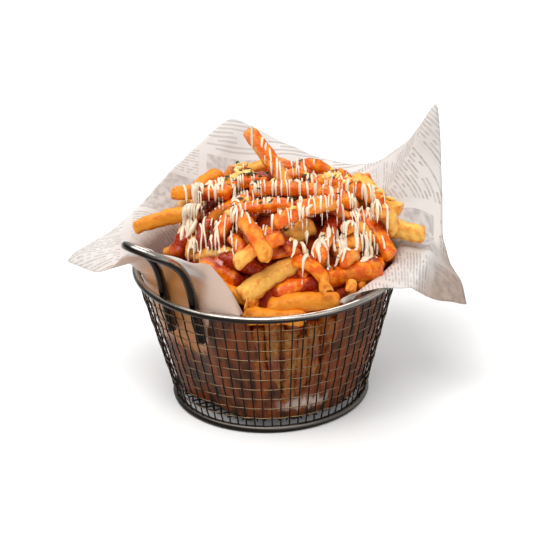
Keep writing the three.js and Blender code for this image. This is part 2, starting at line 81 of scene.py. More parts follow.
# The mesh wall and floor
UPRIGHT_COUNT = 72
HOOP_COUNT = 10
HOOP_END_SPACES = 0.8
MESH_GAP = 0.35
WALL_LOW = FOOT_WIRE + MESH_GAP
WALL_HIGH = BASKET_HEIGHT - RIM_WIRE - MESH_GAP
# How far the upright wires run on beside the two rings
UPRIGHT_OVERLAP = 1.5
FLOOR_RADIUS = 50.5
FLOOR_HEIGHT = 5.8
FLOOR_PITCH = 4.0
# The side towards which the wires keep their bright steel; facing away from it they are painted
# dark as shade
PAINTED_LIGHT_SIDE = np.array([0.42, -0.2, 0.88])

# How finely wires are drawn: steps along them and flats round them
RING_STEPS = 144
RING_SIDES = 24
WIRE_SIDES = 6
STEPS_PER_CROSSING = 4
FLOOR_WIRE_STEPS = 61
HANDLE_BEND_STEPS = 7
HANDLE_STEPS = 360
HANDLE_SIDES = 36

# The handle's wire, as in the solids: distance from the axis and height up one leg
HANDLE_AZIMUTH = -135.8
HANDLE_WIRE = 5.0
HANDLE_WIDTH = 23.6
HANDLE_LEG = [
    (62.2, 56), (66.8, 77.5), (69.2, 89.7), (72.2, 98), (76.5, 104.4), (82, 109.4), (88, 113.6),
]
HANDLE_SLOPE = 33

# The paper, a little nearer to the wall than the thicker sheet of the solids: its gap, how far and
# over what angle the handle's legs dent it, and where it turns up from the floor
PAPER_GAP = 2.7
PAPER_DENT = 6.2
PAPER_DENT_WIDTH = 21
PAPER_FLOOR = 7.0
PAPER_LOW = 9.6
PAPER_CORNER = 0.8
PAPER_CORNER_WIDTH = 3.5
# The greatest height at which the sheet leaves the wall, and how sharply it then bends over
PAPER_BEND = 79
PAPER_LIFT = 14
PAPER_LIFT_SHARE = 0.5
# On the right the sheet leans in over the food: how far, at which azimuth, over what half width,
# and above what height
PAPER_SHOULDER = 5.0
SHOULDER_AZIMUTH = -34
SHOULDER_WIDTH = 21
SHOULDER_LOW = 52
# How finely the sheet is drawn: columns once round, and rows on the floor, in the corner, up the
# wall and out to the edge
PAPER_COLUMNS = 300
PAPER_ROWS = (7, 4, 18, 32)
# The lip behind the handle: between which azimuths it grows and ends, at what share of the last
# stretch it starts, and how far it goes back, rises and turns over, as shares of its size
LIP_GROWS = (177, 196)
LIP_ENDS = (236, 242)
LIP_START = 0.45
LIP_BACK = 0.3
LIP_RISE = 0.45
LIP_TURN = 0.9
# The fold between the right corner's flap and the rest: a place on it, the flap's direction, how
# far to the right it starts, and its ridge's height and width
RIGHT_FOLD = ((92.0, 8.0), (0.95, -0.31))
FOLD_START = 40
FOLD_RIDGE = 3.2
FOLD_WIDTH = 6
# Past the bend, where the fold's ridge and the flap's painted shade grow, and how soon the shade is
# full
RIDGE_GROWS = (2, 14)
FLAP_SHADE_GROWS = (4, 16)
FLAP_SHADE_EDGE = 3
# Soft creases: direction in degrees, distance between two, how far they bend, and their shift
CREASES = (
    (20, 47, 5, 0.3), (75, 38, 4, 1.9), (128, 30, 3, 3.1), (161, 22, 3, 0.8), (48, 17, 2, 4.4),
)
CREASE_WAVE = 19
# The mean of one minus the size of a sine, and the distance between creases of full depth
CREASE_MEAN = 0.36
CREASE_SCALE = 40
# Between which distances past the bend they grow, and under it, on the wall, to what share
CREASES_GROW = (3, 30)
WALL_CREASES_GROW = (5, 15)
WALL_CREASES = 0.25
# Stretches of the sheet that oil or sauce has soaked or left bare: azimuth and half width
OIL_BEHIND_HANDLE = (HANDLE_AZIMUTH - 7, 27)
OIL_BESIDE_HANDLE = (HANDLE_AZIMUTH + 24, 16)
PALE_ON_THE_LEFT = (172, 38)
BARE_AT_THE_FRONT = (-70, 23)
BARE_HEIGHT = (17, 8)
# Oil: between which heights it ends behind the handle, how far under the rim its full share lies,
# and between which distances past the rim's reach it fades out round the heap
OIL_ENDS = (92.5, 94.5)
OIL_DEPTH = 12
OIL_FADES = (2, 24)
# The middle of the side on which sauce shows through only low down, how far from it that side
# ends, between which heights the sauce fades out there, and how much higher both lie elsewhere
PALE_SIDE = -149
PALE_SIDE_ENDS = (19, 34)
SOAK_FADES = (30, 56)
SOAK_HIGHER = (47, 24)
# The middle of the back, how far from it less sauce shows through, and how soon past the bend none
# does
BACK_AZIMUTH = 90
SOAK_AT_BACK = (55, 85)
SOAK_PAST_BEND = 6
# Up to this angle from +X the print's rows run along Y
PRINT_TURN = 54
# The sheet's edge once round: azimuth, distance from the axis and height as in the solids, and how
# round the edge runs there, from 0 at a sharp corner to 1
PAPER_EDGE = {
    "right corner": (-7.8, 111, 56, 0.1),
    "right flap": (2.2, 105, 66.5, 0.6),
    "notch between the right corners": (17.7, 105, 72, 0.1),
    "side of the back right corner": (25.3, 112, 101, 0.6),
    "back right corner": (31.2, 115.5, 146, 0.05),
    "slope behind it": (44.7, 111, 112, 0.8),
    "valley at the back": (54.3, 106, 99, 0.8),
    "middle of the back": (81.4, 104, 106, 0.8),
    "back left corner": (99.3, 111.5, 122, 0.3),
    "slope left of it": (121.4, 94, 107, 0.9),
    "left side": (148.7, 88.5, 91, 0.9),
    "left corner": (175.9, 112, 78.5, 0.15),
    "under the left corner": (182.4, 95, 77.5, 0.8),
    "fold left of the handle": (190.3, 81, 83.5, 0.8),
    "lip left of the handle": (199, 67, 100, 0.8),
    "lip behind the handle": (219, 64.5, 104, 0.9),
    "lip right of the handle": (239.5, 62.7, 104.5, 0.15),
    "front fold": (251.7, 64.2, 91, 0.9),
    "front fold at the rim": (259.4, 65.5, 74, 0.9),
    "left of the front": (267, 60, 46, 0.9),
    "lowest place at the front": (281, 54, 21, 0.9),
    "right of the front": (297, 60, 44, 0.9),
    "inside the rim on the right": (306.5, 67, 80.5, 0.9),
    "over the rim on the right": (318.5, 77, 83.5, 0.9),
    "under the right corner": (333.3, 84, 75, 0.9),
    "lower side of the right corner": (342.4, 95, 65.5, 0.9),
}

# The heap's bare dome, as in the solids, and how far the paper behind the handle holds it back
FRY_THICKNESS = 8
HEAP_TOP = (15, 6, 114)
HEAP_SPREAD = 62
HEAP_FULLNESS = 0.75
HEAP_SHOULDER = 76
HEAP_FLOOR = 8.8
HEAP_LUMP = 1.6
HEAP_LUMPS = 5
HEAP_HELD = 6
HEAP_HELD_WIDTH = 36
# How far from the axis a fry may reach at the rim, from what height it may reach further, how
# much further for each millimetre, and how far in all, as in the solids
END_REACH = 61
END_HEIGHT = 86
END_RISE = 1.1
END_MORE = 16
# The dark inside of the heap: how far inside the paper, how much narrower than the dome, its points
# once round, its rows up the side and up the dome, how far up the dome they go, how its left side
# is flattened, its lumps, and the point that these stand out from
CORE_GAP = 5
CORE_NARROWER = (0.93, 0.93, 1)
CORE_COLUMNS = 72
CORE_ROWS = (8, 16)
CORE_TOP = 0.96
CORE_LEFT = (0.4, 24)
CORE_LUMP = 0.9
CORE_MIDDLE = (0, 0, 60)
RANDOM_SEED = 11
SCATTERED_FRIES = 30
GOLDEN_ANGLE = 137.508
# The spiral of loose fries: how much of the dome it covers, how far an azimuth is off at random,
# how far a fry turns at the rim and how much more at the top, and how far its middle rises
SPIRAL_SHARE = 0.97
SPIRAL_JITTER = 20
TURN_AT_RIM = 40
TURN_MORE = 60
LOOSE_BEND = (1, 4.5)
# An end that reaches out too far goes this share of the way to its fry's middle, this often at most
DRAWN_IN_SHARE = 0.125
DRAWN_IN_STEPS = 12
# How crossing fries are moved apart: how often, how far at most each time, and which share of the
# way back to where they lay first
SETTLE_ROUNDS = 70
SETTLE_STEP = 1
SETTLE_BACK = 0.06
# The heap's height is kept on a square grid: how far out it goes, how fine it is, and how low the
# heap is at least
GRID_REACH = 96.0
GRID_PITCH = 0.5
GRID_LOW = 60
# The hollow with thick sauce on the left, which loose fries and mayonnaise leave bare
SAUCE_POOL = (-30, 1)
POOL_RADIUS = 10
POOL_LOW = 94
# The sauce on the fries: its middle, how much further it goes along X, between which distances it
# fades out, how much there is on average, and how patchy it is
SAUCE_MIDDLE = (14, -6)
SAUCE_STRETCH = 1.08
SAUCE_FADES = (47, 60)
SAUCE_MEAN = 0.84
SAUCE_PATCHES = 0.3
# Where it is thick, and under the soft top also painted darker as shade: this far under the heap's
# soft top, in the hollow, as how wide and below what height, and between these distances left of
# the middle
SAUCE_DEEP = 9
HOLLOW_WIDTH = 13
HOLLOW_BELOW = 108
THICKER_LEFT = (4, 30)
# Where else loose fries are left out: by the handle, as azimuth, half width and from what distance
# on, and at the far left in front of a place along Y
HANDLE_ROOM = (-145, 42, 43)
LEFT_ROOM = -47
LEFT_ROOM_BACK = 45
# Where the front begins along Y, and which share of a fry placed after the photo loose ones may
# hide at the front and elsewhere
FRONT_START = -46
HIDDEN_AT_FRONT = 0.2
HIDDEN_ELSEWHERE = 0.4
# The fries against the bare mesh: between which azimuths, how many, how far inside every other
# one, how thick, how low and high their ends are with how much more at random, and how they lean
WALL_FRY_AZIMUTHS = (262, 304)
WALL_FRIES = 13
WALL_FRY_GAP = 6.2
WALL_FRY_DEEPER = (3.2, 0.2)
WALL_FRY_WIDTH = 7.2
WALL_FRY_LOW = (14, 14)
WALL_FRY_HIGH = (62, 12)
WALL_FRY_LEAN = 7

# The thick sauce between the fries: how far it stays under the blurred heap, how far it may stand
# over the real one, the least cover, height and most slope where it lies, and how thick it is
SAUCE_UNDER = 0.6
SAUCE_OVER = 2.6
SAUCE_LEAST = 0.62
SAUCE_LOWEST = 80
SAUCE_STEEPEST = 1.2
SAUCE_THICKNESS = 1.2
# Mayonnaise: how far off an edge a string still hangs from it, how deep a drop under a string's
# end must be to count, and the share of the thickness at rest, hanging and between the two
STRING_REACH = 0.9
END_DROP = 3
AT_REST = 1.0
HANGING = 0.4
BETWEEN = 0.01
# The thin strokes: between which places along X, the longest one's half length and place, the
# distance from it at which their length runs out, the points in each, how deep an end hangs, and
# the heights between which the raised fry begins
STROKE_SPAN = (-44, 66)
STROKE_REACH = 44
STROKE_MIDDLE = 10
STROKE_SPREAD = 58
STROKE_POINTS = 210
STRING_HANG = 5.6
RAISED_FRY_FROM = (119, 123)
# The thick short strokes: the points in each, how deep an end hangs, and the strokes themselves:
# where each starts in plan, its direction in degrees and its length
THICK_POINTS = 40
THICK_HANG = 7.0
THICK_STROKES = (
    (-41, 0, 70, 22), (-36, -10, 80, 18), (-30, -14, 85, 20), (-22, -2, 75, 20),
    (-14, -8, 100, 18), (-5, -6, 110, 16), (-26, 12, 85, 12), (-38, 10, 60, 14),
    (20, -4, 95, 12), (34, 6, 80, 14), (46, -4, 85, 18), (55, -6, 95, 20),
    (60, -18, 100, 16), (50, -14, 80, 14), (-30, -26, 60, 12), (-20, -30, 70, 10),
    (13, -49, 88, 11), (18, -52, 80, 15), (22, -45, 97, 12), (25, -44, 70, 10),
    (29, -48, 84, 16), (32, -40, 100, 10), (36, -40, 78, 11), (40, -43, 92, 16),
    (43, -36, 70, 10), (47, -34, 95, 11), (51, -32, 80, 10), (55, -30, 95, 10),
    (27, -43, 60, 9), (34, -41, 110, 9), (38, -37, 60, 9), (45, -36, 115, 10),
    (50, -34, 65, 9), (31, -37, 80, 9), (41, -33, 100, 9), (22, -40, 70, 9),
    (-47, -5, 60, 18), (-45, -4, 58, 18), (-43, -3, 66, 16), (-49, 0, 55, 10),
    (-40, 8, 90, 16), (-34, 10, 80, 16), (-28, 10, 92, 18), (-24, 14, 84, 16),
    (-18, 10, 95, 18), (-42, -14, 85, 10), (-39, -15, 95, 10),
)
# Where herb flakes and yellow bits are strewn: how many, round which place in plan, how widely
HERB_PLACES = (
    (190, (10, 0), (26, 20)), (100, (10, 14), (9, 6)), (45, (-14, 20), (8, 4)),
    (35, (35, 20), (9, 5)), (30, (38, -34), (12, 7)),
)
YELLOW_PLACES = (
    (30, (-12, 24), (5, 4)), (40, (42, 16), (10, 5)), (14, (66, 12), (4, 3)),
    (26, (12, -8), (24, 18)),
)
# Herbs stay within a distance of this place along X, and no sprinkle lies above this height
HERB_MIDDLE = 6
HERB_REACH = 52
SPRINKLES_BELOW = 125

# The fries that the heap is known by: both ends, thickness, how far the middle rises, how much of
# the fry the sauce covers, and how the far end thins
NAMED_FRIES = {
    "raised at the back": ((17, 5, 111), (-9, 27, 147), 8.2, 2, 0.62, 0.15),
    "stub on the left": ((-18, 12, 116), (-52, 18, 114), 8, 0, None, 0),
    "low on the left": ((-36, 7, 107), (-73, 4, 99.5), 7.4, 1.5, None, 0),
    "end on the right": ((52, 7, 99), (88, 2, 90.5), 9, 0, None, 0),
    "short end on the right": ((52, 18, 106), (76, 13, 101.5), 8, 0, 0.05, 0),
    "under sauce by the rim": ((2, -53, 82), (62, -26, 84.5), 12.5, 3, 1, 0),
    "level at the front": ((-1, -58, 78), (38, -55.5, 79), 9.4, 2, 0.02, 0),
    "slanting at the front": ((-15, -56.5, 83.5), (21, -37, 96.5), 10, 1.5, 0.1, 0),
    "lowest at the front": ((-14, -62.5, 76), (20, -63, 73.5), 7.6, 0, 0, 0),
    "left of the middle": ((-29, -26, 98), (-8, 2, 117), 8, 3, 1, 0),
    "across the top": ((-8, 4, 120), (48, -8, 116), 8, 4, 1, 0),
    "right of the top": ((22, 14, 119), (66, 12, 107), 8.6, 4, 0.9, 0),
    "by the paper's fold": ((-36, -35, 95), (-14, -48, 87.5), 8, 1, 0.95, 0),
    "below it": ((-29, -44, 87), (-6, -57, 79.5), 7.6, 0.5, 0.3, 0),
    "over the front": ((-26, -35, 97), (-2, -44, 91), 8.4, 2, 0.95, 0),
    "down the left side": ((-39, 7, 102), (-50, -5, 84), 8.6, 1.5, 1, 0),
    "end towards the front": ((-38, 5, 92), (-41, -14, 89.5), 8.2, 1, 0.3, 0),
    "bit on the left": ((-47, 7, 85), (-57, 4, 83), 7, 0, 0, 0),
    "bare in the middle": ((9, -31, 103), (25, -22, 109.5), 10, 1, 0.02, 0),
    "bare right of it": ((35, -31, 97), (51, -24, 99.5), 8.6, 1, 0.15, 0),
    "between it and the paper": ((47, -37, 77), (60, -20, 80.5), 8, 1, 0.9, 0),
    "above the paper on the right": ((59, -24, 83), (64, -3, 85), 8, 1, 0.6, 0),
    "down the right side": ((52, 2, 105), (68, -19, 87), 8.5, 2, 1, 0),
}


def srgb(red, green, blue):
    """A colour as a photo shows it, 0 to 255, turned into the linear values that shaders use."""
    value = np.array([red, green, blue]) / 255
    linear = np.where(value <= 0.04045, value / 12.92, ((value + 0.055) / 1.055) ** 2.4)
    return tuple(float(v) for v in linear)


def dimmed(colour, share):
    """A linear colour times a share."""
    return [share * c for c in colour]


def size_property(name, description, millimetres):
    return FloatProperty(
        name=name, description=description, default=millimetres * MM, min=0.0,
        precision=4, unit="LENGTH",
    )


def colour_property(name, description, red, green, blue):
    return FloatVectorProperty(
        name=name, description=description, default=srgb(red, green, blue), size=3,
        min=0.0, max=1.0, subtype="COLOR",
    )


def share_property(name, description, default):
    return FloatProperty(
        name=name, description=description, default=default, min=0.0, max=1.0, subtype="FACTOR",
    )


class BasketLooks(bpy.types.PropertyGroup):
    """Sizes and colours of the wire basket"""

    upright_wire: size_property("Upright wire", "Thickness of the wall's upright wires", 0.85)
    hoop_wire: size_property("Hoop wire", "Thickness of the wall's level wires", 0.62)
    floor_wire: size_property("Floor wire", "Thickness of the floor's wires", 1.0)
    crimp: size_property("Crimp", "How far a mesh wire swings in and out as it is woven", 0.22)
    steel: colour_property("Steel", "Colour of the thick polished wires", 222, 214, 204)
    # Painted shade: the colour of the thick wires' sides that face away from the light
    steel_painted_shade: colour_property("Steel in painted shade", "Colour of their undersides", 34, 28, 24)
    # The mesh's one steel in two copies: dark on the uprights and floor wires as painted shade,
    # light on the hoops as a painted highlight
    mesh_steel_in_shade: colour_property("Uprights", "Colour of the upright wires", 58, 38, 26)
    hoop_steel_lit: colour_property("Hoops", "Colour of the level wires", 204, 174, 136)
    polish: share_property("Polish", "How sharply the thick wires mirror the lights", 0.88)


class PaperLooks(bpy.types.PropertyGroup):
    """Sizes and colours of the paper sheet"""

    thickness: size_property("Thickness", "Thickness of the sheet as it is drawn", 0.3)
    crumple: size_property("Crumple", "Depth of the sheet's soft creases", 1.1)
    lip: size_property("Lip", "How far the sheet's edge curls out behind the handle", 8.0)
    paper: colour_property("Paper", "Colour of the bare sheet", 221, 215, 211)
    print_ink: colour_property("Print", "Colour of the printed bars", 136, 127, 122)
    oil: colour_property("Oil", "Colour of the sheet where oil has soaked it", 206, 140, 76)
    # Oil-soaked sheet with sauce and fries showing through, made darker also as painted shade
    # inside the basket
    soaked: colour_property("Soaked", "Colour where sauce and fries show through", 130, 60, 9)
    soaked_streaks_in_shade: colour_property("Deep soaked", "Its dark streaks", 46, 19, 3)


class HeapLooks(bpy.types.PropertyGroup):
    """Amounts and colours of the food"""

    filler_fries: IntProperty(
        name="Filler fries", description="Fries laid between those that the solids show",
        default=190, min=0, max=260,
    )
    string_thickness: size_property("String", "Thickness of the thin mayonnaise strings", 1.2)
    string_pitch: size_property("Pitch", "Distance between two strokes of mayonnaise", 2.8)
    fry_pale: colour_property("Pale fry", "Lightest part of a bare fry", 254, 202, 98)
    fry_gold: colour_property("Golden fry", "Middle colour of a bare fry", 246, 156, 44)
    fry_brown: colour_property("Browned fry", "Edges and ends of a fry", 206, 106, 26)
    sauce_thin: colour_property("Thin sauce", "Sauce where it has run off", 248, 146, 26)
    sauce: colour_property("Sauce", "Sauce on the fries", 226, 90, 4)
    # Partly the colour of thick sauce, partly painted shade where sauce lies deep between fries
    sauce_thick_and_shaded: colour_property("Deep sauce", "Sauce where it lies thick", 150, 22, 2)
    mayonnaise: colour_property("Mayonnaise", "Colour of the mayonnaise", 252, 230, 200)
    herb: colour_property("Herb", "Colour of the herb flakes", 62, 70, 26)


class StageLooks(bpy.types.PropertyGroup):
    """The light and the floor"""

    floor: colour_property("Floor", "Colour of the floor", 250, 250, 250)
    key: FloatProperty(
        name="Key light", description="Strength of the broad light from the left", default=2.5,
        min=0.0,
    )
    sky: FloatProperty(
        name="Sky", description="Strength of the even light from all sides", default=0.45, min=0.0,
    )


def looks():
    return bpy.context.scene.fries_basket


class SceneLooks(bpy.types.PropertyGroup):
    """All sizes and colours that the pieces are made with"""

    basket: PointerProperty(type=BasketLooks)
    paper: PointerProperty(type=PaperLooks)
    heap: PointerProperty(type=HeapLooks)
    stage: PointerProperty(type=StageLooks)


# Plain geometry


def smooth_step(value, low, high):
    """0 below low, 1 above high, and 3t^2 - 2t^3 between them."""
    t = np.clip((value - low) / (high - low), 0, 1)
    return t * t * (3 - 2 * t)


def unit(vectors):
    """Each vector divided by its length."""
    length = np.linalg.norm(vectors, axis=-1, keepdims=True)
    return vectors / np.maximum(length, 1e-9)


def polar(azimuth, reach, height):
    """Points at azimuths in degrees, distances from the axis and heights."""
    a = np.radians(azimuth)
    return np.stack(np.broadcast_arrays(reach * np.cos(a), reach * np.sin(a), height), axis=-1)


def wall_radius(height):
    """The mesh wall is a cone: its radius grows evenly from the foot ring to the rim."""
    return FOOT_RADIUS + WALL_SLOPE * (height - FOOT_HEIGHT)


def turn_between(a, b):
    """The angle from azimuth b to azimuth a, from -180 to 180 degrees."""
    return (a - b + 180) % 360 - 180


def curve_through(points, slopes_kept, count):
    """A curve through the points, which are cubic pieces over the distance along them.

    The slope at a point is that of the parabola through it and its two neighbours, times
    slopes_kept there, so that 0 gives a sharp corner.
    """
    along = np.concatenate([[0], np.cumsum(np.linalg.norm(np.diff(points, axis=0), axis=1))])
    slope = np.gradient(points, along, axis=0) * np.asarray(slopes_kept, float)[:, None]
    place = np.linspace(0, along[-1], count)
    i = np.clip(np.searchsorted(along, place, side="right") - 1, 0, len(along) - 2)
    length = (along[i + 1] - along[i])[:, None]
    t = (place - along[i])[:, None] / length
    return (
        (1 + 2 * t) * (1 - t) ** 2 * points[i]
        + t * (1 - t) ** 2 * length * slope[i]
        + t * t * (3 - 2 * t) * points[i + 1]
        + t * t * (t - 1) * length * slope[i + 1]
    )


def grid_faces(count, rows, sides, closed=False):
    """Quads and triangles of `count` grids of rows x sides points, whose sides run once round.

    Closed grids join their last row to the first one. The others end in two tips, whose numbers
    follow all grids' points: the first tip of every grid, and then the last one of every grid.
    """
    row = np.arange(rows if closed else rows - 1)[None, :, None]
    side = np.arange(sides)[None, None, :]
    start = (np.arange(count) * rows * sides)[:, None, None]
    next_row = (row + 1) % rows
    next_side = (side + 1) % sides
    corners = [(row, side), (row, next_side), (next_row, next_side), (next_row, side)]
    quads = np.stack([np.broadcast_to(start + r * sides + s, (count, len(row[0]), sides))
                      for r, s in corners], axis=-1).reshape(-1, 4)
    if closed:
        return quads, np.zeros((0, 3), int)
    first = np.arange(count)[:, None] * rows * sides
    last = first + (rows - 1) * sides
    ring = np.arange(sides)[None, :]
    after = (ring + 1) % sides
    tips = count * rows * sides + np.arange(count)[:, None]
    start_fan = np.stack(np.broadcast_arrays(tips, first + after, first + ring), axis=-1)
    end_fan = np.stack(np.broadcast_arrays(tips + count, last + ring, last + after), axis=-1)
    return quads, np.concatenate([start_fan.reshape(-1, 3), end_fan.reshape(-1, 3)])


def tubes(paths, radii, sides, closed=False):
    """Round tubes along paths: points [tube, row, side], and the faces.

    Each row's circle lies square to its path. The circle's first direction is square to the path
    and to the direction in which the whole path spreads least.
    """
    paths = np.asarray(paths, float)
    radii = np.broadcast_to(radii, paths.shape[:2])
    if closed:
        ahead = unit(np.roll(paths, -1, axis=1) - np.roll(paths, 1, axis=1))
    else:
        ahead = unit(np.gradient(paths, axis=1))
    centred = paths - paths.mean(axis=1, keepdims=True)
    least = np.linalg.svd(centred, full_matrices=False)[2][:, -1][:, None, :]
    side = unit(np.cross(least, ahead))
    up = np.cross(ahead, side)
    angle = TAU * np.arange(sides) / sides
    circle = side[:, :, None] * np.cos(angle)[:, None] + up[:, :, None] * np.sin(angle)[:, None]
    points = paths[:, :, None] + radii[:, :, None, None] * circle
    count, rows = paths.shape[:2]
    quads, fans = grid_faces(count, rows, sides, closed)
    flat = points.reshape(-1, 3)
    if not closed:
        flat = np.concatenate([flat, paths[:, 0], paths[:, -1]])
    return flat, quads, fans


def mesh_piece(name, points, quads, fans, material, values=None, uv=None):
    """A shown piece from points in millimetres, with values per point and a UV per face corner."""
    mesh = bpy.data.meshes.new(name)
    corners = np.concatenate([quads.ravel(), fans.ravel()]).astype(np.int32)
    starts = np.concatenate([4 * np.arange(len(quads)), 4 * len(quads) + 3 * np.arange(len(fans))])
    mesh.vertices.add(len(points))
    mesh.vertices.foreach_set("co", (points * MM + AXIS).astype(np.float32).ravel())
    mesh.loops.add(len(corners))
    mesh.loops.foreach_set("vertex_index", corners)
    mesh.polygons.add(len(starts))
    mesh.polygons.foreach_set("loop_start", starts.astype(np.int32))
    mesh.polygons.foreach_set("use_smooth", np.ones(len(starts), bool))
    mesh.update(calc_edges=True)
    for key, value in (values or {}).items():
        layer = mesh.attributes.new(key, "FLOAT", "POINT")
        layer.data.foreach_set("value", np.broadcast_to(value, len(points)).astype(np.float32))
    if uv is not None:
        mesh.uv_layers.new(name="print").data.foreach_set("uv", uv.astype(np.float32).ravel())
    if mesh.validate():
        raise RuntimeError(f"{name} has faces that aren't valid")
    mesh.materials.append(material)
    piece = bpy.data.objects.new(name, mesh)
    bpy.context.scene.collection.objects.link(piece)
    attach(piece, "root")
    return piece


def stand_for(node):
    """The piece replaces a CAD node, which is hidden."""
    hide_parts(node)


def wire_piece(name, paths, wire, sides, finish, node, closed=False):
    """Round wires along paths. The value under is 1 where a point faces away from the lit side, and
    there the finish paints shade.
    """
    flat, quads, fans = tubes(paths, wire / 2, sides, closed)
    middle = np.repeat(np.asarray(paths).reshape(-1, 3), sides, axis=0)
    facing = (flat[:len(middle)] - middle) @ PAINTED_LIGHT_SIDE / (wire / 2)
    under = np.zeros(len(flat))
    # Painted shade: the more a point faces away from the lit side, the more it takes the dark
    # colour
    under[:len(middle)] = 1 - smooth_step(facing, 0.25, 1)
    piece = mesh_piece(name, flat, quads, fans, finish, {"under": under})
    stand_for(node)


# Materials


class Wiring:
    """Adds nodes to one node tree and joins them."""

    def __init__(self, tree):
        self.tree = tree

    def add(self, kind, inputs=None, **settings):
        made = self.tree.nodes.new(kind)
        for key, value in settings.items():
            setattr(made, key, value)
        for key, value in (inputs or {}).items():
            self.feed(made.inputs[key], value)
        return made

    def feed(self, socket, value):
        if isinstance(value, bpy.types.NodeSocket):
            self.tree.links.new(value, socket)
        elif hasattr(value, "__len__") and len(value) == 3 and len(socket.default_value) == 4:
            socket.default_value = (*value, 1)
        else:
            socket.default_value = value

    def math(self, operation, *values, clamp=False):
        made = self.add("ShaderNodeMath", operation=operation, use_clamp=clamp)
        for socket, value in zip(made.inputs, values):
            self.feed(socket, value)
        return made.outputs[0]

    def blend(self, share, first, second, how="MIX"):
        made = self.add("ShaderNodeMix", data_type="RGBA", blend_type=how)
        self.feed(made.inputs[0], share)
        self.feed(made.inputs[6], first)
        self.feed(made.inputs[7], second)
        return made.outputs[2]

    def step(self, value, low, high, from_value=0.0, to_value=1.0):
        made = self.add("ShaderNodeMapRange", interpolation_type="SMOOTHSTEP")
        for socket, given in zip(made.inputs, (value, low, high, from_value, to_value)):
            self.feed(socket, given)
        return made.outputs[0]

    def place(self):
        return self.add("ShaderNodeTexCoord").outputs["Object"]

    def noise(self, where, scale, detail=2.0, roughness=0.5):
        made = self.add("ShaderNodeTexNoise", {
            "Vector": where, "Scale": scale, "Detail": detail, "Roughness": roughness,
        })
        return made.outputs[0]

    def relief(self, height, strength, depth):
        made = self.add("ShaderNodeBump", {
            "Height": height, "Strength": strength, "Distance": depth,
        })
        return made.outputs[0]

    def value(self, name):
        return self.add("ShaderNodeAttribute", attribute_name=name).outputs["Fac"]

    def group(self, tree, **inputs):
        made = self.add("ShaderNodeGroup", node_tree=tree)
        for key, value in inputs.items():
            self.feed(made.inputs[key.replace("_", " ").capitalize()], value)
        return made.outputs


def effect(name, inputs, outputs, build):
    """A shader node group, made once: build(wiring, inputs) returns its outputs by name."""
    if name in bpy.data.node_groups:
        return bpy.data.node_groups[name]
    tree = bpy.data.node_groups.new(name, "ShaderNodeTree")
    for key, kind in inputs.items():
        tree.interface.new_socket(key, in_out="INPUT", socket_type=kind)
    for key, kind in outputs.items():
        tree.interface.new_socket(key, in_out="OUTPUT", socket_type=kind)
    wiring = Wiring(tree)
    made = build(wiring, wiring.add("NodeGroupInput").outputs)
    ends = wiring.add("NodeGroupOutput")
    for key, socket in made.items():
        wiring.feed(ends.inputs[key], socket)
    return tree


def uneven():
    """Soft mottling and fine grain of a surface, both from 0 to 1."""

    def build(w, given):
        soft = w.noise(given["Where"], given["Scale"], 3.0)
        fine = w.noise(given["Where"], w.math("MULTIPLY", given["Scale"], 6.0), 2.0)
        return {
            "Mottling": w.step(soft, 0.3, 0.7),
            "Grain": fine,
            "Height": w.math("ADD", w.math("MULTIPLY", soft, 0.7), w.math("MULTIPLY", fine, 0.3)),
        }

    return effect(
        "uneven surface",
        {"Where": "NodeSocketVector", "Scale": "NodeSocketFloat"},
        {"Mottling": "NodeSocketFloat", "Grain": "NodeSocketFloat", "Height": "NodeSocketFloat"},
        build,
    )


# The printed page's columns and blocks, in centimetres
COLUMN_WIDTH = 4.1
BLOCK_HEIGHT = 3.3


def newsprint():
    """Ink of an invented printed page, from 0 to 1, over a UV in centimetres.

    The page is cut into columns and the columns into blocks. By a random number of its own a
    block holds thin rows of bars, thick rows of bars, or an even grey field. A row's bars break
    off at random.
    """

    def build(w, given):
        split = w.add("ShaderNodeSeparateXYZ", {"Vector": given["Where"]}).outputs

        def random(*values):
            joined = w.add("ShaderNodeCombineXYZ", dict(enumerate(values))).outputs[0]
            return w.add("ShaderNodeTexWhiteNoise", {"Vector": joined}).outputs["Value"]

        def cells(value, size):
            scaled = w.math("DIVIDE", value, size)
            return w.math("FLOOR", scaled), w.math("FRACT", scaled)

        column, across = cells(split["X"], COLUMN_WIDTH)
        shifted = w.math("ADD", split["Y"], w.math("MULTIPLY", random(column, 0.5), BLOCK_HEIGHT))
        block, down = cells(shifted, BLOCK_HEIGHT)
        kind = random(column, block)
        inside = w.math("MULTIPLY", w.math("GREATER_THAN", across, 0.06),
                        w.math("LESS_THAN", across, 0.94))
        inside = w.math("MULTIPLY", inside, w.math("LESS_THAN", down, 0.9))

        def bars(pitch, share, word):
            row, within = cells(split["Y"], pitch)
            ink = w.math("LESS_THAN", within, share)
            piece, _ = cells(w.math("ADD", split["X"], random(row, column)), word)
            kept = w.math("GREATER_THAN", random(piece, row, 3.0), 0.17)
            ragged = w.math("LESS_THAN", across, w.math("ADD", 0.72, random(row, block)))
            return w.math("MULTIPLY", w.math("MULTIPLY", ink, kept), ragged)

        wear = w.step(w.noise(given["Where"], 5.0, 2.0), 0.35, 0.7, 0.45, 1.0)
        thin = w.math("MULTIPLY", bars(pitch=0.2, share=0.5, word=0.2), wear)
        thick = w.math("MULTIPLY", bars(pitch=0.3, share=0.42, word=1.3), 0.75)
        field = w.step(w.noise(given["Where"], 2.4, 4.0), 0.35, 0.7, 0.25, 1.0)
        body = w.math("MULTIPLY", thin, w.math("GREATER_THAN", kind, 0.3))
        head = w.math("MULTIPLY", thick, w.math("COMPARE", kind, 0.24, 0.06))
        grey = w.math("MULTIPLY", field, w.math("LESS_THAN", kind, 0.18))
        ink = w.math("ADD", body, w.math("ADD", head, grey))
        return {"Ink": w.math("MULTIPLY", ink, inside, clamp=True)}

    return effect("newsprint", {"Where": "NodeSocketVector"}, {"Ink": "NodeSocketFloat"}, build)


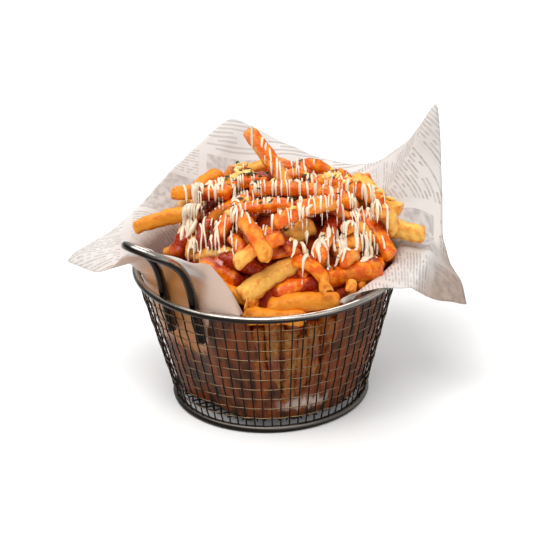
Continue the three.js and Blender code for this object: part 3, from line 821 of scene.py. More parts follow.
def material(name, build, **constants):
    """A Principled material: build(wiring) returns the linked inputs, constants go on sockets."""
    if name in bpy.data.materials:
        return bpy.data.materials[name]
    made = bpy.data.materials.new(name)
    made.use_nodes = True
    wiring = Wiring(made.node_tree)
    shader = made.node_tree.nodes["Principled BSDF"]
    for key, value in {**constants, **build(wiring)}.items():
        wiring.feed(shader.inputs[key.replace("_", " ")], value)
    return made


def steel_wire(name, colour, dark, roughness):
    """Polished wire: painted dark as shade on the side that faces away from the light, and with a
    few less polished places.
    """

    def build(w):
        made = w.group(uneven(), where=w.place(), scale=55.0)
        worn = w.blend(made["Mottling"], dimmed(colour, 0.8), colour)
        return {
            # Painted shade: the under value gives the side that faces away the dark colour
            "Base Color": w.blend(w.value("under"), worn, dark),
            "Roughness": w.step(made["Mottling"], 0.0, 1.0, roughness, roughness * 1.6),
        }

    return material(name, build, Metallic=1.0)


def paper_finish():
    """Printed greaseproof paper: print on its upper face, soaked brown where oil has reached, with
    painted shade on the right corner's flap and, where sauce shows through, inside the basket.
    """
    chosen = looks().paper

    def build(w):
        page = w.add("ShaderNodeUVMap", uv_map="print").outputs[0]
        ink = w.group(newsprint(), where=page)["Ink"]
        made = w.group(uneven(), where=w.place(), scale=38.0)
        outer = w.value("outer")
        oil = w.value("oil")
        shown = w.math("MULTIPLY", ink, w.step(outer, 0.0, 1.0, 0.62, 0.07))
        faded = w.math("MULTIPLY", shown, w.step(made["Mottling"], 0.0, 1.0, 0.75, 1.0))
        sheet = w.blend(made["Mottling"], dimmed(chosen.paper, 0.9), chosen.paper)
        # Painted shade: the flap beyond the right fold faces away from the light and is given a
        # darker copy of the paper
        flap_painted_shade = w.blend(
            made["Mottling"], dimmed(chosen.paper, 0.62), dimmed(chosen.paper, 0.8),
        )
        sheet = w.blend(w.value("grey"), sheet, flap_painted_shade)
        printed = w.blend(faded, sheet, chosen.print_ink)
        tanned = w.blend(oil, (1, 1, 1), chosen.oil)
        stretched = w.add("ShaderNodeMapping", {"Vector": w.place(), "Scale": (1.0, 1.0, 0.1)})
        # Where sauce and fries show through: the soaked colours, darkened also as painted shade of
        # the basket's inside
        streak = w.step(w.noise(stretched.outputs[0], 190.0, 3.0), 0.32, 0.7)
        through = w.blend(streak, chosen.soaked_streaks_in_shade, chosen.soaked)
        sheen = w.step(w.noise(stretched.outputs[0], 330.0, 1.0), 0.35, 0.7, 0.0, 0.5)
        soak = w.step(w.math("ADD", w.value("soak"), w.math("MULTIPLY", sheen, 0.5)), 0.35, 0.75)
        return {
            "Base Color": w.blend(soak, w.blend(1.0, printed, tanned, "MULTIPLY"), through),
            "Roughness": w.step(oil, 0.0, 1.0, 0.7, 0.38),
            "Normal": w.relief(made["Height"], 0.5, 0.0012),
        }

    return material("printed paper", build, Specular_IOR_Level=0.25)


def fry_finish():
    """Fried potato: pale to golden with browned edges, under sauce that is redder where thick and
    also painted darker as shade where it lies deep between fries; fries behind the mesh take
    painted shade.
    """
    chosen = looks().heap

    def build(w):
        made = w.group(uneven(), where=w.place(), scale=150.0)
        patch = w.noise(w.place(), 70.0, 2.0)
        tint = w.value("tint")
        tone = w.math("ADD", w.math("MULTIPLY", tint, 0.55), w.math("MULTIPLY", patch, 0.6))
        bare = w.blend(w.step(tone, 0.3, 0.8), chosen.fry_pale, chosen.fry_gold)
        spots = w.step(w.noise(w.place(), 330.0, 3.0), 0.32, 0.72, 0.2, 1.1)
        brown = w.math("MULTIPLY", w.math("ADD", w.value("brown"), 0.12), spots, clamp=True)
        crust = w.blend(brown, bare, chosen.fry_brown)
        sauce = w.step(w.math("ADD", w.value("sauce"), w.math("MULTIPLY", patch, 0.5)), 0.5, 0.85)
        # Painted shade in part: sauce lying deep under the heap's soft top takes the dark red
        thick = w.step(w.math("ADD", w.value("deep"), w.math("MULTIPLY", patch, 0.5)), 0.5, 0.95)
        run_off = w.step(w.noise(w.place(), 240.0, 2.0), 0.42, 0.66)
        on_top = w.blend(run_off, chosen.sauce, chosen.sauce_thin)
        sauced = w.blend(thick, on_top, chosen.sauce_thick_and_shaded)
        cover = w.math("MULTIPLY", sauce, w.step(made["Grain"], 0.25, 0.6, 0.8, 1.0))
        colour = w.blend(cover, crust, sauced)
        # Painted shade: by the shade value a fry takes a dark soaked colour
        shaded = w.blend(w.value("shade"), colour, dimmed(looks().paper.soaked, 0.45))
        return {
            "Base Color": shaded,
            "Roughness": w.step(sauce, 0.0, 1.0, 0.4, 0.22),
            "Coat Weight": w.math("MULTIPLY", sauce, 0.2),
            "Normal": w.relief(made["Height"], 0.8, 0.0016),
        }

    return material(
        "fried potato", build, Subsurface_Weight=0.08, Subsurface_Radius=(1.0, 0.45, 0.15),
        Subsurface_Scale=0.002, Coat_Roughness=0.1, Specular_IOR_Level=0.22,
    )


def soft_food(name, light, dark, scale, roughness, bump_depth, **constants):
    """A food of two close colours in soft patches, with a fine relief."""

    def build(w):
        made = w.group(uneven(), where=w.place(), scale=scale)
        return {
            "Base Color": w.blend(made["Mottling"], dark, light),
            "Roughness": w.step(made["Grain"], 0.3, 0.7, roughness, roughness * 1.4),
            "Normal": w.relief(made["Height"], 0.5, bump_depth),
        }

    return material(name, build, **constants)


# The basket


def ring_piece(name, radius, height, wire, finish, node):
    """A torus: a circle of wire carried once round the axis."""
    azimuth = np.arange(RING_STEPS) * 360 / RING_STEPS
    path = polar(azimuth, radius, height)[None]
    wire_piece(name, path, wire, RING_SIDES, finish, node, closed=True)


def hoop_levels():
    spacing = (WALL_HIGH - WALL_LOW) / (HOOP_COUNT - 1 + 2 * HOOP_END_SPACES)
    return WALL_LOW + spacing * (np.arange(HOOP_COUNT) + HOOP_END_SPACES), spacing


def polished():
    chosen = looks().basket
    roughness = 1.05 - chosen.polish
    return steel_wire("polished wire", chosen.steel, chosen.steel_painted_shade, roughness)


def upright_finish():
    chosen = looks().basket
    # Painted shade: the uprights and floor wires are given the mesh's dark colour
    return steel_wire("upright wire", chosen.mesh_steel_in_shade, chosen.steel_painted_shade, roughness=0.35)


class FRIESBASKET_OT_rings(bpy.types.Operator):
    """Make the rim and the foot ring, each a round wire bent to a circle"""

    bl_idname = "friesbasket.rings"
    bl_label = "Rim and foot ring"

    def execute(self, context):
        chosen = looks().basket
        # The foot ring is a rougher wire, and its steel is painted darker as shade
        dull_and_shaded = steel_wire(
            "foot wire", dimmed(chosen.steel, 0.3), chosen.steel_painted_shade, roughness=0.3,
        )
        ring_piece("rim", RIM_RADIUS, RIM_HEIGHT, RIM_WIRE, polished(), "rim_wire")
        ring_piece("foot", FOOT_RADIUS, FOOT_HEIGHT, FOOT_WIRE, dull_and_shaded, "foot_ring")
        return {"FINISHED"}


class FRIESBASKET_OT_mesh_wall(bpy.types.Operator):
    """Make the woven wall: every wire swings in and out between the wires that it crosses"""

    bl_idname = "friesbasket.mesh_wall"
    bl_label = "Mesh wall"

    def execute(self, context):
        chosen = looks().basket
        crimp = chosen.crimp / MM
        levels, spacing = hoop_levels()
        number = np.arange(UPRIGHT_COUNT)[:, None]
        steps = STEPS_PER_CROSSING * (HOOP_COUNT + 1) + 1
        height = np.linspace(WALL_LOW - UPRIGHT_OVERLAP, WALL_HIGH + UPRIGHT_OVERLAP, steps)
        swing = np.cos(np.pi * (height - levels[0]) / spacing + np.pi * number)
        uprights = polar(number * 360 / UPRIGHT_COUNT, wall_radius(height) + crimp * swing, height)
        wire_piece(
            "wall_uprights_woven", uprights, chosen.upright_wire / MM, WIRE_SIDES,
            upright_finish(), "wall_uprights",
        )

        steps = STEPS_PER_CROSSING * UPRIGHT_COUNT
        azimuth = np.arange(steps) * 360 / steps
        number = np.arange(HOOP_COUNT)[:, None]
        swing = np.cos(np.radians(azimuth) * UPRIGHT_COUNT / 2 + np.pi * number)
        reach = wall_radius(levels)[:, None] - crimp * swing
        hoops = polar(azimuth, reach, levels[:, None])
        # Painted highlight: the hoops are given a light copy of the mesh's steel, with the painted
        # shade on their undersides
        finish = steel_wire(
            "hoop wire", chosen.hoop_steel_lit, chosen.mesh_steel_in_shade, roughness=0.25,
        )
        wire_piece(
            "wall_hoops_woven", hoops, chosen.hoop_wire / MM, WIRE_SIDES, finish, "wall_hoops",
            closed=True,
        )
        return {"FINISHED"}


class FRIESBASKET_OT_floor_mesh(bpy.types.Operator):
    """Make the woven floor: two sets of level wires, cut off at the floor's circle"""

    bl_idname = "friesbasket.floor_mesh"
    bl_label = "Floor mesh"

    def execute(self, context):
        wire = looks().basket.floor_wire / MM
        reach = int(FLOOR_RADIUS / FLOOR_PITCH)
        number = np.arange(-reach, reach + 1)
        place = (number * FLOOR_PITCH)[:, None]
        along = np.sqrt(FLOOR_RADIUS ** 2 - place ** 2) * np.linspace(-1, 1, FLOOR_WIRE_STEPS)
        swing = wire / 2 * np.cos(np.pi * along / FLOOR_PITCH + np.pi * number[:, None])
        place = np.broadcast_to(place, along.shape)
        one_way = np.stack([along, place, FLOOR_HEIGHT + swing], axis=-1)
        other_way = np.stack([place, along, FLOOR_HEIGHT - swing], axis=-1)
        wire_piece(
            "floor_mesh_woven", np.concatenate([one_way, other_way]), wire, WIRE_SIDES,
            upright_finish(), "floor_mesh",
        )
        return {"FINISHED"}


class FRIESBASKET_OT_handle(bpy.types.Operator):
    """Make the handle: one round wire up a leg, round the outer bend and down the other leg"""

    bl_idname = "friesbasket.handle"
    bl_label = "Handle"

    def execute(self, context):
        leg = np.array(HANDLE_LEG, float)
        side = HANDLE_WIDTH / 2
        turn = np.radians(np.linspace(-90, 90, HANDLE_BEND_STEPS + 2)[1:-1])
        slope = np.radians(HANDLE_SLOPE)
        bend = np.stack([
            leg[-1, 0] + side * np.cos(turn) * np.cos(slope),
            side * np.sin(turn),
            leg[-1, 1] + side * np.cos(turn) * np.sin(slope),
        ], axis=-1)
        up = np.stack([leg[:, 0], np.full(len(leg), -side), leg[:, 1]], axis=-1)
        points = np.concatenate([up, bend, up[::-1] * [1, -1, 1]])
        path = curve_through(points, np.ones(len(points)), HANDLE_STEPS)
        a = np.radians(HANDLE_AZIMUTH)
        turned = np.array([[np.cos(a), np.sin(a), 0], [-np.sin(a), np.cos(a), 0], [0, 0, 1]])
        wire_piece(
            "handle_loop", (path @ turned)[None], HANDLE_WIRE, HANDLE_SIDES, polished(), "handle",
        )
        return {"FINISHED"}


# The paper


def paper_radius(azimuth, height):
    """The paper follows the wall at a small gap, drawn in behind the handle's legs and, near the
    rim, where it leans in on the right."""
    from_handle = turn_between(azimuth, HANDLE_AZIMUTH) / PAPER_DENT_WIDTH
    from_shoulder = turn_between(azimuth, SHOULDER_AZIMUTH) / SHOULDER_WIDTH
    lean = PAPER_SHOULDER * np.exp(-(from_shoulder ** 2))
    lean = lean * smooth_step(height, SHOULDER_LOW, PAPER_BEND)
    return wall_radius(height) - PAPER_GAP - PAPER_DENT * np.exp(-(from_handle ** 2)) - lean


def paper_edge(count):
    """The sheet's edge once round, through its named places."""
    places = np.array(list(PAPER_EDGE.values()))
    points = polar(places[:, 0], places[:, 1], places[:, 2])
    # Two more places at each end make the curve run on smoothly where it closes
    order = np.arange(-2, len(points) + 3) % len(points)
    steps = 40
    looped = curve_through(points[order], places[order, 3], steps * len(order))
    from_first = np.linalg.norm(looped - points[0], axis=1)
    near_end = 5 * steps
    first = np.argmin(from_first[:near_end])
    last = len(looped) - near_end + np.argmin(from_first[-near_end:])
    closed = looped[first:last + 1]
    along = np.concatenate([[0], np.cumsum(np.linalg.norm(np.diff(closed, axis=0), axis=1))])
    place = np.arange(count) * along[-1] / count
    return np.stack([np.interp(place, along, closed[:, k]) for k in range(3)], axis=-1)


def paper_middle(columns):
    """The sheet's middle surface [row, column] and the number of rows up to its bend.

    Each column runs out over the floor, round the corner in a curve, up the wall, and then bends
    over to the edge as a parabola whose middle point carries on along the wall.
    """
    floor_rows, corner_rows, wall_rows, flare_rows = PAPER_ROWS
    edge = paper_edge(columns)
    azimuth = np.degrees(np.arctan2(edge[:, 1], edge[:, 0]))
    reach = np.hypot(edge[:, 0], edge[:, 1])
    over_rim = reach > RIM_RADIUS - RIM_WIRE
    low = PAPER_LOW
    high = np.clip(edge[:, 2] - PAPER_CORNER, low + 2 * PAPER_CORNER, PAPER_BEND)
    high = np.where(over_rim, PAPER_BEND, high)
    inner = paper_radius(azimuth, low) - PAPER_CORNER
    t = np.linspace(0.1, 1, floor_rows)[:, None]
    floor = polar(azimuth, (inner - PAPER_CORNER_WIDTH) * t, PAPER_FLOOR)
    t = np.linspace(0, 1, corner_rows + 1)[1:, None]
    corner = polar(
        azimuth, inner - PAPER_CORNER_WIDTH * (1 - t) ** 2,
        PAPER_FLOOR + (low - PAPER_FLOOR) * t ** 2,
    )
    t = np.linspace(0, 1, wall_rows + 1)[1:, None]
    height = low + (high - low) * t
    wall = polar(azimuth, paper_radius(azimuth, height) - PAPER_CORNER * (1 - t) ** 8, height)
    t = np.linspace(0, 1, flare_rows + 1)[1:, None]
    start = paper_radius(azimuth, high)
    lift = np.clip((reach - start) * PAPER_LIFT_SHARE, PAPER_LIFT_SHARE, PAPER_LIFT)
    r = (1 - t) ** 2 * start + 2 * t * (1 - t) * (start + WALL_SLOPE * lift) + t * t * reach
    z = (1 - t) ** 2 * high + 2 * t * (1 - t) * (high + lift) + t * t * edge[:, 2]
    # Behind the handle the last stretch rises, turns over and comes down outside as a lip
    lip = looks().paper.lip / MM
    round_once = azimuth % 360
    behind = smooth_step(round_once, *LIP_GROWS) * (1 - smooth_step(round_once, *LIP_ENDS))
    s = smooth_step(t, LIP_START, 1)
    r = r + behind * (lip * s ** 3 - LIP_BACK * lip * np.sin(np.pi * s))
    z = z + behind * LIP_RISE * lip * np.sin(LIP_TURN * np.pi * s)
    flare = polar(azimuth, r, z)
    inside_rows = len(floor) + len(corner) + len(wall)
    return np.concatenate([floor, corner, wall, flare]), inside_rows


def creases(plan):
    """Soft creases over a plan in millimetres: ridges, as one minus the size of a sine, run in a
    few directions, and each is bent a little by another sine."""
    total = 0
    for angle, length, bend, shift in CREASES:
        a = np.radians(angle)
        along = plan[..., 0] * np.cos(a) + plan[..., 1] * np.sin(a)
        across = plan[..., 1] * np.cos(a) - plan[..., 0] * np.sin(a)
        phase = TAU * (along + bend * np.sin(across / CREASE_WAVE + shift)) / length + shift
        total = total + (1 - np.abs(np.sin(phase / 2)) - CREASE_MEAN) * length / CREASE_SCALE
    return total


def stretch(azimuth, place, power=4):
    """1 at a place's azimuth, falling as e to the minus a power of the angle over its width."""
    middle, width = place
    return np.exp(-np.abs(turn_between(azimuth, middle) / width) ** power)


def oil_on_paper(azimuth, height, out_in_plan):
    """How much oil is in the sheet: all behind the handle up to the lip, some inside the basket
    and right of the handle, and a little round the heap."""
    inside_share, beside_share, near_share = 0.42, 0.5, 0.2
    behind = stretch(azimuth, OIL_BEHIND_HANDLE) * (1 - smooth_step(height, *OIL_ENDS))
    inside = inside_share * smooth_step(BASKET_HEIGHT - height, 0, OIL_DEPTH)
    beside = beside_share * stretch(azimuth, OIL_BESIDE_HANDLE)
    near = near_share * (1 - smooth_step(out_in_plan, *OIL_FADES))
    return np.maximum.reduce([behind, inside, beside, near])


def sauce_on_paper(azimuth, height, past_bend):
    """How much of the sauce and fries shows through the sheet inside the basket, in colours
    darkened also
    as painted shade: only low down on the handle's side, less at the back, and least at one place
    at the front."""
    paler_left, less_at_back, less_where_bare = 0.55, 0.45, 0.66
    off_side = smooth_step(np.abs(turn_between(azimuth, PALE_SIDE)), *PALE_SIDE_ENDS)
    off_side = off_side * (1 - paler_left * stretch(azimuth, PALE_ON_THE_LEFT))
    fades = (low + higher * off_side for low, higher in zip(SOAK_FADES, SOAK_HIGHER))
    low_enough = 1 - smooth_step(height, *fades)
    low_enough = low_enough * (1 - smooth_step(past_bend, 0, SOAK_PAST_BEND))
    at_back = 1 - smooth_step(np.abs(turn_between(azimuth, BACK_AZIMUTH)), *SOAK_AT_BACK)
    low_enough = low_enough * (1 - less_at_back * at_back)
    bare_height, half_height = BARE_HEIGHT
    bare = stretch(azimuth, BARE_AT_THE_FRONT, 2) * np.exp(
        -((height - bare_height) / half_height) ** 2)
    return low_enough * (1 - less_where_bare * bare)


def both_faces(values, at_tips):
    """Values per point of the middle surface, for the lower face, the upper one and two tips."""
    return np.concatenate([values.ravel(), values[::-1].ravel(), at_tips])


def print_places(plan, azimuth, quads, fans):
    """The place on the printed page, in centimetres, of every face's corner: the rows run along X
    on the left, and along Y right of the valley at the back."""
    rows, columns = plan.shape[:2]
    page = np.concatenate([plan.reshape(-1, 2), plan[::-1].reshape(-1, 2), np.zeros((2, 2))]) / 10
    face_column = np.concatenate([
        np.repeat(np.tile(np.arange(columns), 2 * rows - 1), 4),
        np.repeat(np.tile(np.arange(columns), 2), 3),
    ])
    at_right = np.abs(turn_between(azimuth[-1], 0)[face_column]) < PRINT_TURN
    uv = page[np.concatenate([quads.ravel(), fans.ravel()])]
    return np.where(at_right[:, None], np.stack([uv[:, 1], -uv[:, 0]], axis=-1), uv)


class FRIESBASKET_OT_paper(bpy.types.Operator):
    """Make the paper sheet as two faces a little apart, joined at the edge"""

    bl_idname = "friesbasket.paper"
    bl_label = "Paper sheet"

    def execute(self, context):
        chosen = looks().paper
        middle, inside_rows = paper_middle(PAPER_COLUMNS)
        azimuth = np.degrees(np.arctan2(middle[..., 1], middle[..., 0]))
        # The sheet laid flat: the azimuth stays, and the distance is the length along a column
        steps = np.linalg.norm(np.diff(middle, axis=0, prepend=middle[:1] * 0), axis=-1)
        run = np.cumsum(steps, axis=0)
        at_bend = run[inside_rows - 1]
        past_bend = run - at_bend
        bend_reach = np.hypot(*middle[inside_rows - 1, :, :2].T)
        flat_reach = np.where(run > at_bend, bend_reach + run - at_bend, run * bend_reach / at_bend)
        plan = polar(azimuth, flat_reach, 0)[..., :2]

        across = np.roll(middle, -1, axis=1) - np.roll(middle, 1, axis=1)
        normal = unit(np.cross(np.gradient(middle, axis=0), across))
        normal *= np.sign(normal[:1, :, 2:])
        wall_share = WALL_CREASES * smooth_step(at_bend - run, *WALL_CREASES_GROW)
        grown = np.maximum(smooth_step(past_bend, *CREASES_GROW), wall_share)
        depth = chosen.crumple / MM * grown
        middle = middle + normal * (depth * creases(plan))[..., None]
        beyond = (middle[..., :2] - RIGHT_FOLD[0]) @ np.array(RIGHT_FOLD[1])
        at_fold = middle[..., 0] > FOLD_START
        ridge = np.exp(-np.abs(beyond) / FOLD_WIDTH) * smooth_step(past_bend, *RIDGE_GROWS)
        middle[..., 2] += FOLD_RIDGE * ridge * at_fold
        # Painted shade: the flap beyond the fold is marked to take the darker paper
        grey = smooth_step(beyond, 0, FLAP_SHADE_EDGE) * at_fold * smooth_step(past_bend, *FLAP_SHADE_GROWS)

        half = chosen.thickness / MM / 2
        points = np.concatenate([middle - normal * half, (middle + normal * half)[::-1]])
        quads, fans = grid_faces(1, *points.shape[:2])
        tips = np.array([[0, 0, PAPER_FLOOR - half], [0, 0, PAPER_FLOOR + half]])
        flat = np.concatenate([points.reshape(-1, 3), tips])
        outer = np.concatenate([np.ones(azimuth.size), np.zeros(azimuth.size), [1, 0]])
        oil = oil_on_paper(azimuth, middle[..., 2], flat_reach - bend_reach)
        soak = sauce_on_paper(azimuth, middle[..., 2], past_bend)
        values = {
            "outer": outer, "oil": both_faces(oil, [0.5, 0.5]), "soak": both_faces(soak, [1, 1]),
            "grey": both_faces(grey, [0, 0]),
        }
        uv = print_places(plan, azimuth, quads, fans)
        piece = mesh_piece("paper_sheet", flat, quads, fans, paper_finish(), values, uv)
        stand_for("paper_liner")
        return {"FINISHED"}


# The heap


def random_stream(seed):
    """The same repeatable numbers from 0 to 1 as the solids are scattered with: each state is the
    last one times a factor, plus a step, modulo 2^32."""
    factor, step, modulus = 1664525, 1013904223, 2 ** 32
    state = seed
    while True:
        state = (state * factor + step) % modulus
        yield state / modulus


def held_back(azimuth):
    """How far the paper behind the handle holds the heap back."""
    return HEAP_HELD * np.exp(-((turn_between(azimuth, HANDLE_AZIMUTH) / HEAP_HELD_WIDTH) ** 4))


def dome(azimuth, t):
    """The bare heap's dome: t runs from the rim to the top, which lies off the basket's axis.

    Its spread falls with a power of a cosine while its height rises with a sine, and its middle
    leans from the axis to the top.
    """
    t = np.asarray(t, float)
    lean = smooth_step(t, 0, 1)
    spread = np.clip(np.cos(np.pi / 2 * t), 0, 1) ** HEAP_FULLNESS
    spread = (HEAP_SPREAD - held_back(azimuth)) * spread
    lumps = HEAP_LUMP * np.sin(np.radians(azimuth * HEAP_LUMPS) + 9 * t) * np.sin(np.pi * t)
    height = HEAP_SHOULDER + (HEAP_TOP[2] - HEAP_SHOULDER) * np.sin(np.pi / 2 * t)
    place = polar(azimuth, spread + lumps, height)
    return place + np.stack([HEAP_TOP[0] * lean, HEAP_TOP[1] * lean, 0 * lean], axis=-1)


def drawn_in(end, middle):
    """An end moved back along its fry until it is clear of the rim and the paper."""
    for _ in range(DRAWN_IN_STEPS):
        held = held_back(np.degrees(np.arctan2(end[1], end[0])))
        more = np.clip((end[2] - END_HEIGHT) * END_RISE, 0, END_MORE * (1 - held / HEAP_HELD))
        if np.hypot(end[0], end[1]) <= END_REACH - held + more:
            break
        end = end + (middle - end) * DRAWN_IN_SHARE
    return end


def spiral_fries(count, seed, first_azimuth, rise, half_length, width):
    """Fries spread over the dome by a spiral with the golden angle, each turned at random: near
    the rim they lie almost level, near the top they point any way."""
    random = random_stream(seed)

    def within(limits):
        return limits[0] + (limits[1] - limits[0]) * next(random)

    fries = []
    for i in range(count):
        t = 1 - SPIRAL_SHARE * np.sqrt((i + 0.5) / count)
        azimuth = first_azimuth + i * GOLDEN_ANGLE + SPIRAL_JITTER * next(random)
        middle = dome(azimuth, t)
        level = unit(dome(azimuth + 2, t) - dome(azimuth - 2, t))
        uphill = unit(dome(azimuth, t + 0.02) - dome(azimuth, t - 0.02))
        out = np.cross(level, uphill)
        turn = np.radians((TURN_AT_RIM + TURN_MORE * t) * (2 * next(random) - 1))
        ahead = level * np.cos(turn) + uphill * np.sin(turn)
        half = within(half_length)
        middle = middle + out * within(rise)
        start = drawn_in(middle - ahead * half, middle)
        end = drawn_in(middle + ahead * half, middle)
        fries.append({
            "start": start, "end": end, "width": within(width), "bend": within(LOOSE_BEND),
            "roll": 90 * next(random),
        })
    return fries


def nearest_on(start_a, end_a, start_b, end_b):
    """How far along each of two sticks, from 0 to 1, their nearest points lie."""
    run_a, run_b, between = end_a - start_a, end_b - start_b, start_a - start_b
    aa, bb = (run_a ** 2).sum(-1), (run_b ** 2).sum(-1)
    ab, ar, br = (run_a * run_b).sum(-1), (run_a * between).sum(-1), (run_b * between).sum(-1)
    along_a = np.clip((ab * br - ar * bb) / np.maximum(aa * bb - ab ** 2, 1e-6), 0, 1)
    along_b = np.clip((ab * along_a + br) / bb, 0, 1)
    along_a = np.clip((ab * along_b - ar) / aa, 0, 1)
    return along_a[:, None], along_b[:, None]


def settle(starts, ends, widths, fixed):
    """Moves sticks that cross apart: each pair is pushed along the line between its nearest
    points, every stick is drawn a little to where it lay first, and keeps its length."""
    home_start, home_end = starts.copy(), ends.copy()
    length = np.linalg.norm(ends - starts, axis=1, keepdims=True)
    a, b = np.triu_indices(len(starts), 1)
    free = (~fixed).astype(float)
    share_a = (free[a] / np.maximum(free[a] + free[b], 1))[:, None]
    share_b = (free[b] / np.maximum(free[a] + free[b], 1))[:, None]
    room = 0.5 * (widths[a] + widths[b])[:, None]
    for _ in range(SETTLE_ROUNDS):
        at_a, at_b = nearest_on(starts[a], ends[a], starts[b], ends[b])
        gap = (starts[a] + at_a * (ends - starts)[a]) - (starts[b] + at_b * (ends - starts)[b])
        distance = np.linalg.norm(gap, axis=1, keepdims=True)
        push = gap / np.maximum(distance, 1e-6) * np.clip(room - distance, 0, None) * 0.5
        move_start, move_end = np.zeros_like(starts), np.zeros_like(ends)
        np.add.at(move_start, a, push * share_a * (1 - at_a))
        np.add.at(move_end, a, push * share_a * at_a)
        np.add.at(move_start, b, -push * share_b * (1 - at_b))
        np.add.at(move_end, b, -push * share_b * at_b)
        loose = free[:, None]
        move_start = np.clip(move_start, -SETTLE_STEP, SETTLE_STEP)
        move_end = np.clip(move_end, -SETTLE_STEP, SETTLE_STEP)
        starts = starts + (move_start + SETTLE_BACK * (home_start - starts)) * loose
        ends = ends + (move_end + SETTLE_BACK * (home_end - ends)) * loose
        middle, ahead = (starts + ends) / 2, unit(ends - starts)
        starts, ends = middle - ahead * length / 2, middle + ahead * length / 2
    return starts, ends


def from_pool(points):
    """The distance in plan from the middle of the hollow with thick sauce."""
    return np.hypot(points[..., 0] - SAUCE_POOL[0], points[..., 1] - SAUCE_POOL[1])


def in_a_bare_place(start, end):
    """Whether a loose fry lies in the hollow, fills the room by the handle or the far left."""
    middle = (start + end) / 2
    azimuth = np.degrees(np.arctan2(middle[1], middle[0]))
    room_azimuth, room_width, room_start = HANDLE_ROOM
    by_handle = (
        abs(turn_between(azimuth, room_azimuth)) < room_width
        and np.hypot(*middle[:2]) > room_start
    )
    at_left = min(start[0], end[0]) < LEFT_ROOM and middle[1] < LEFT_ROOM_BACK
    in_hollow = from_pool(middle) < POOL_RADIUS and middle[2] > POOL_LOW
    return by_handle or at_left or in_hollow


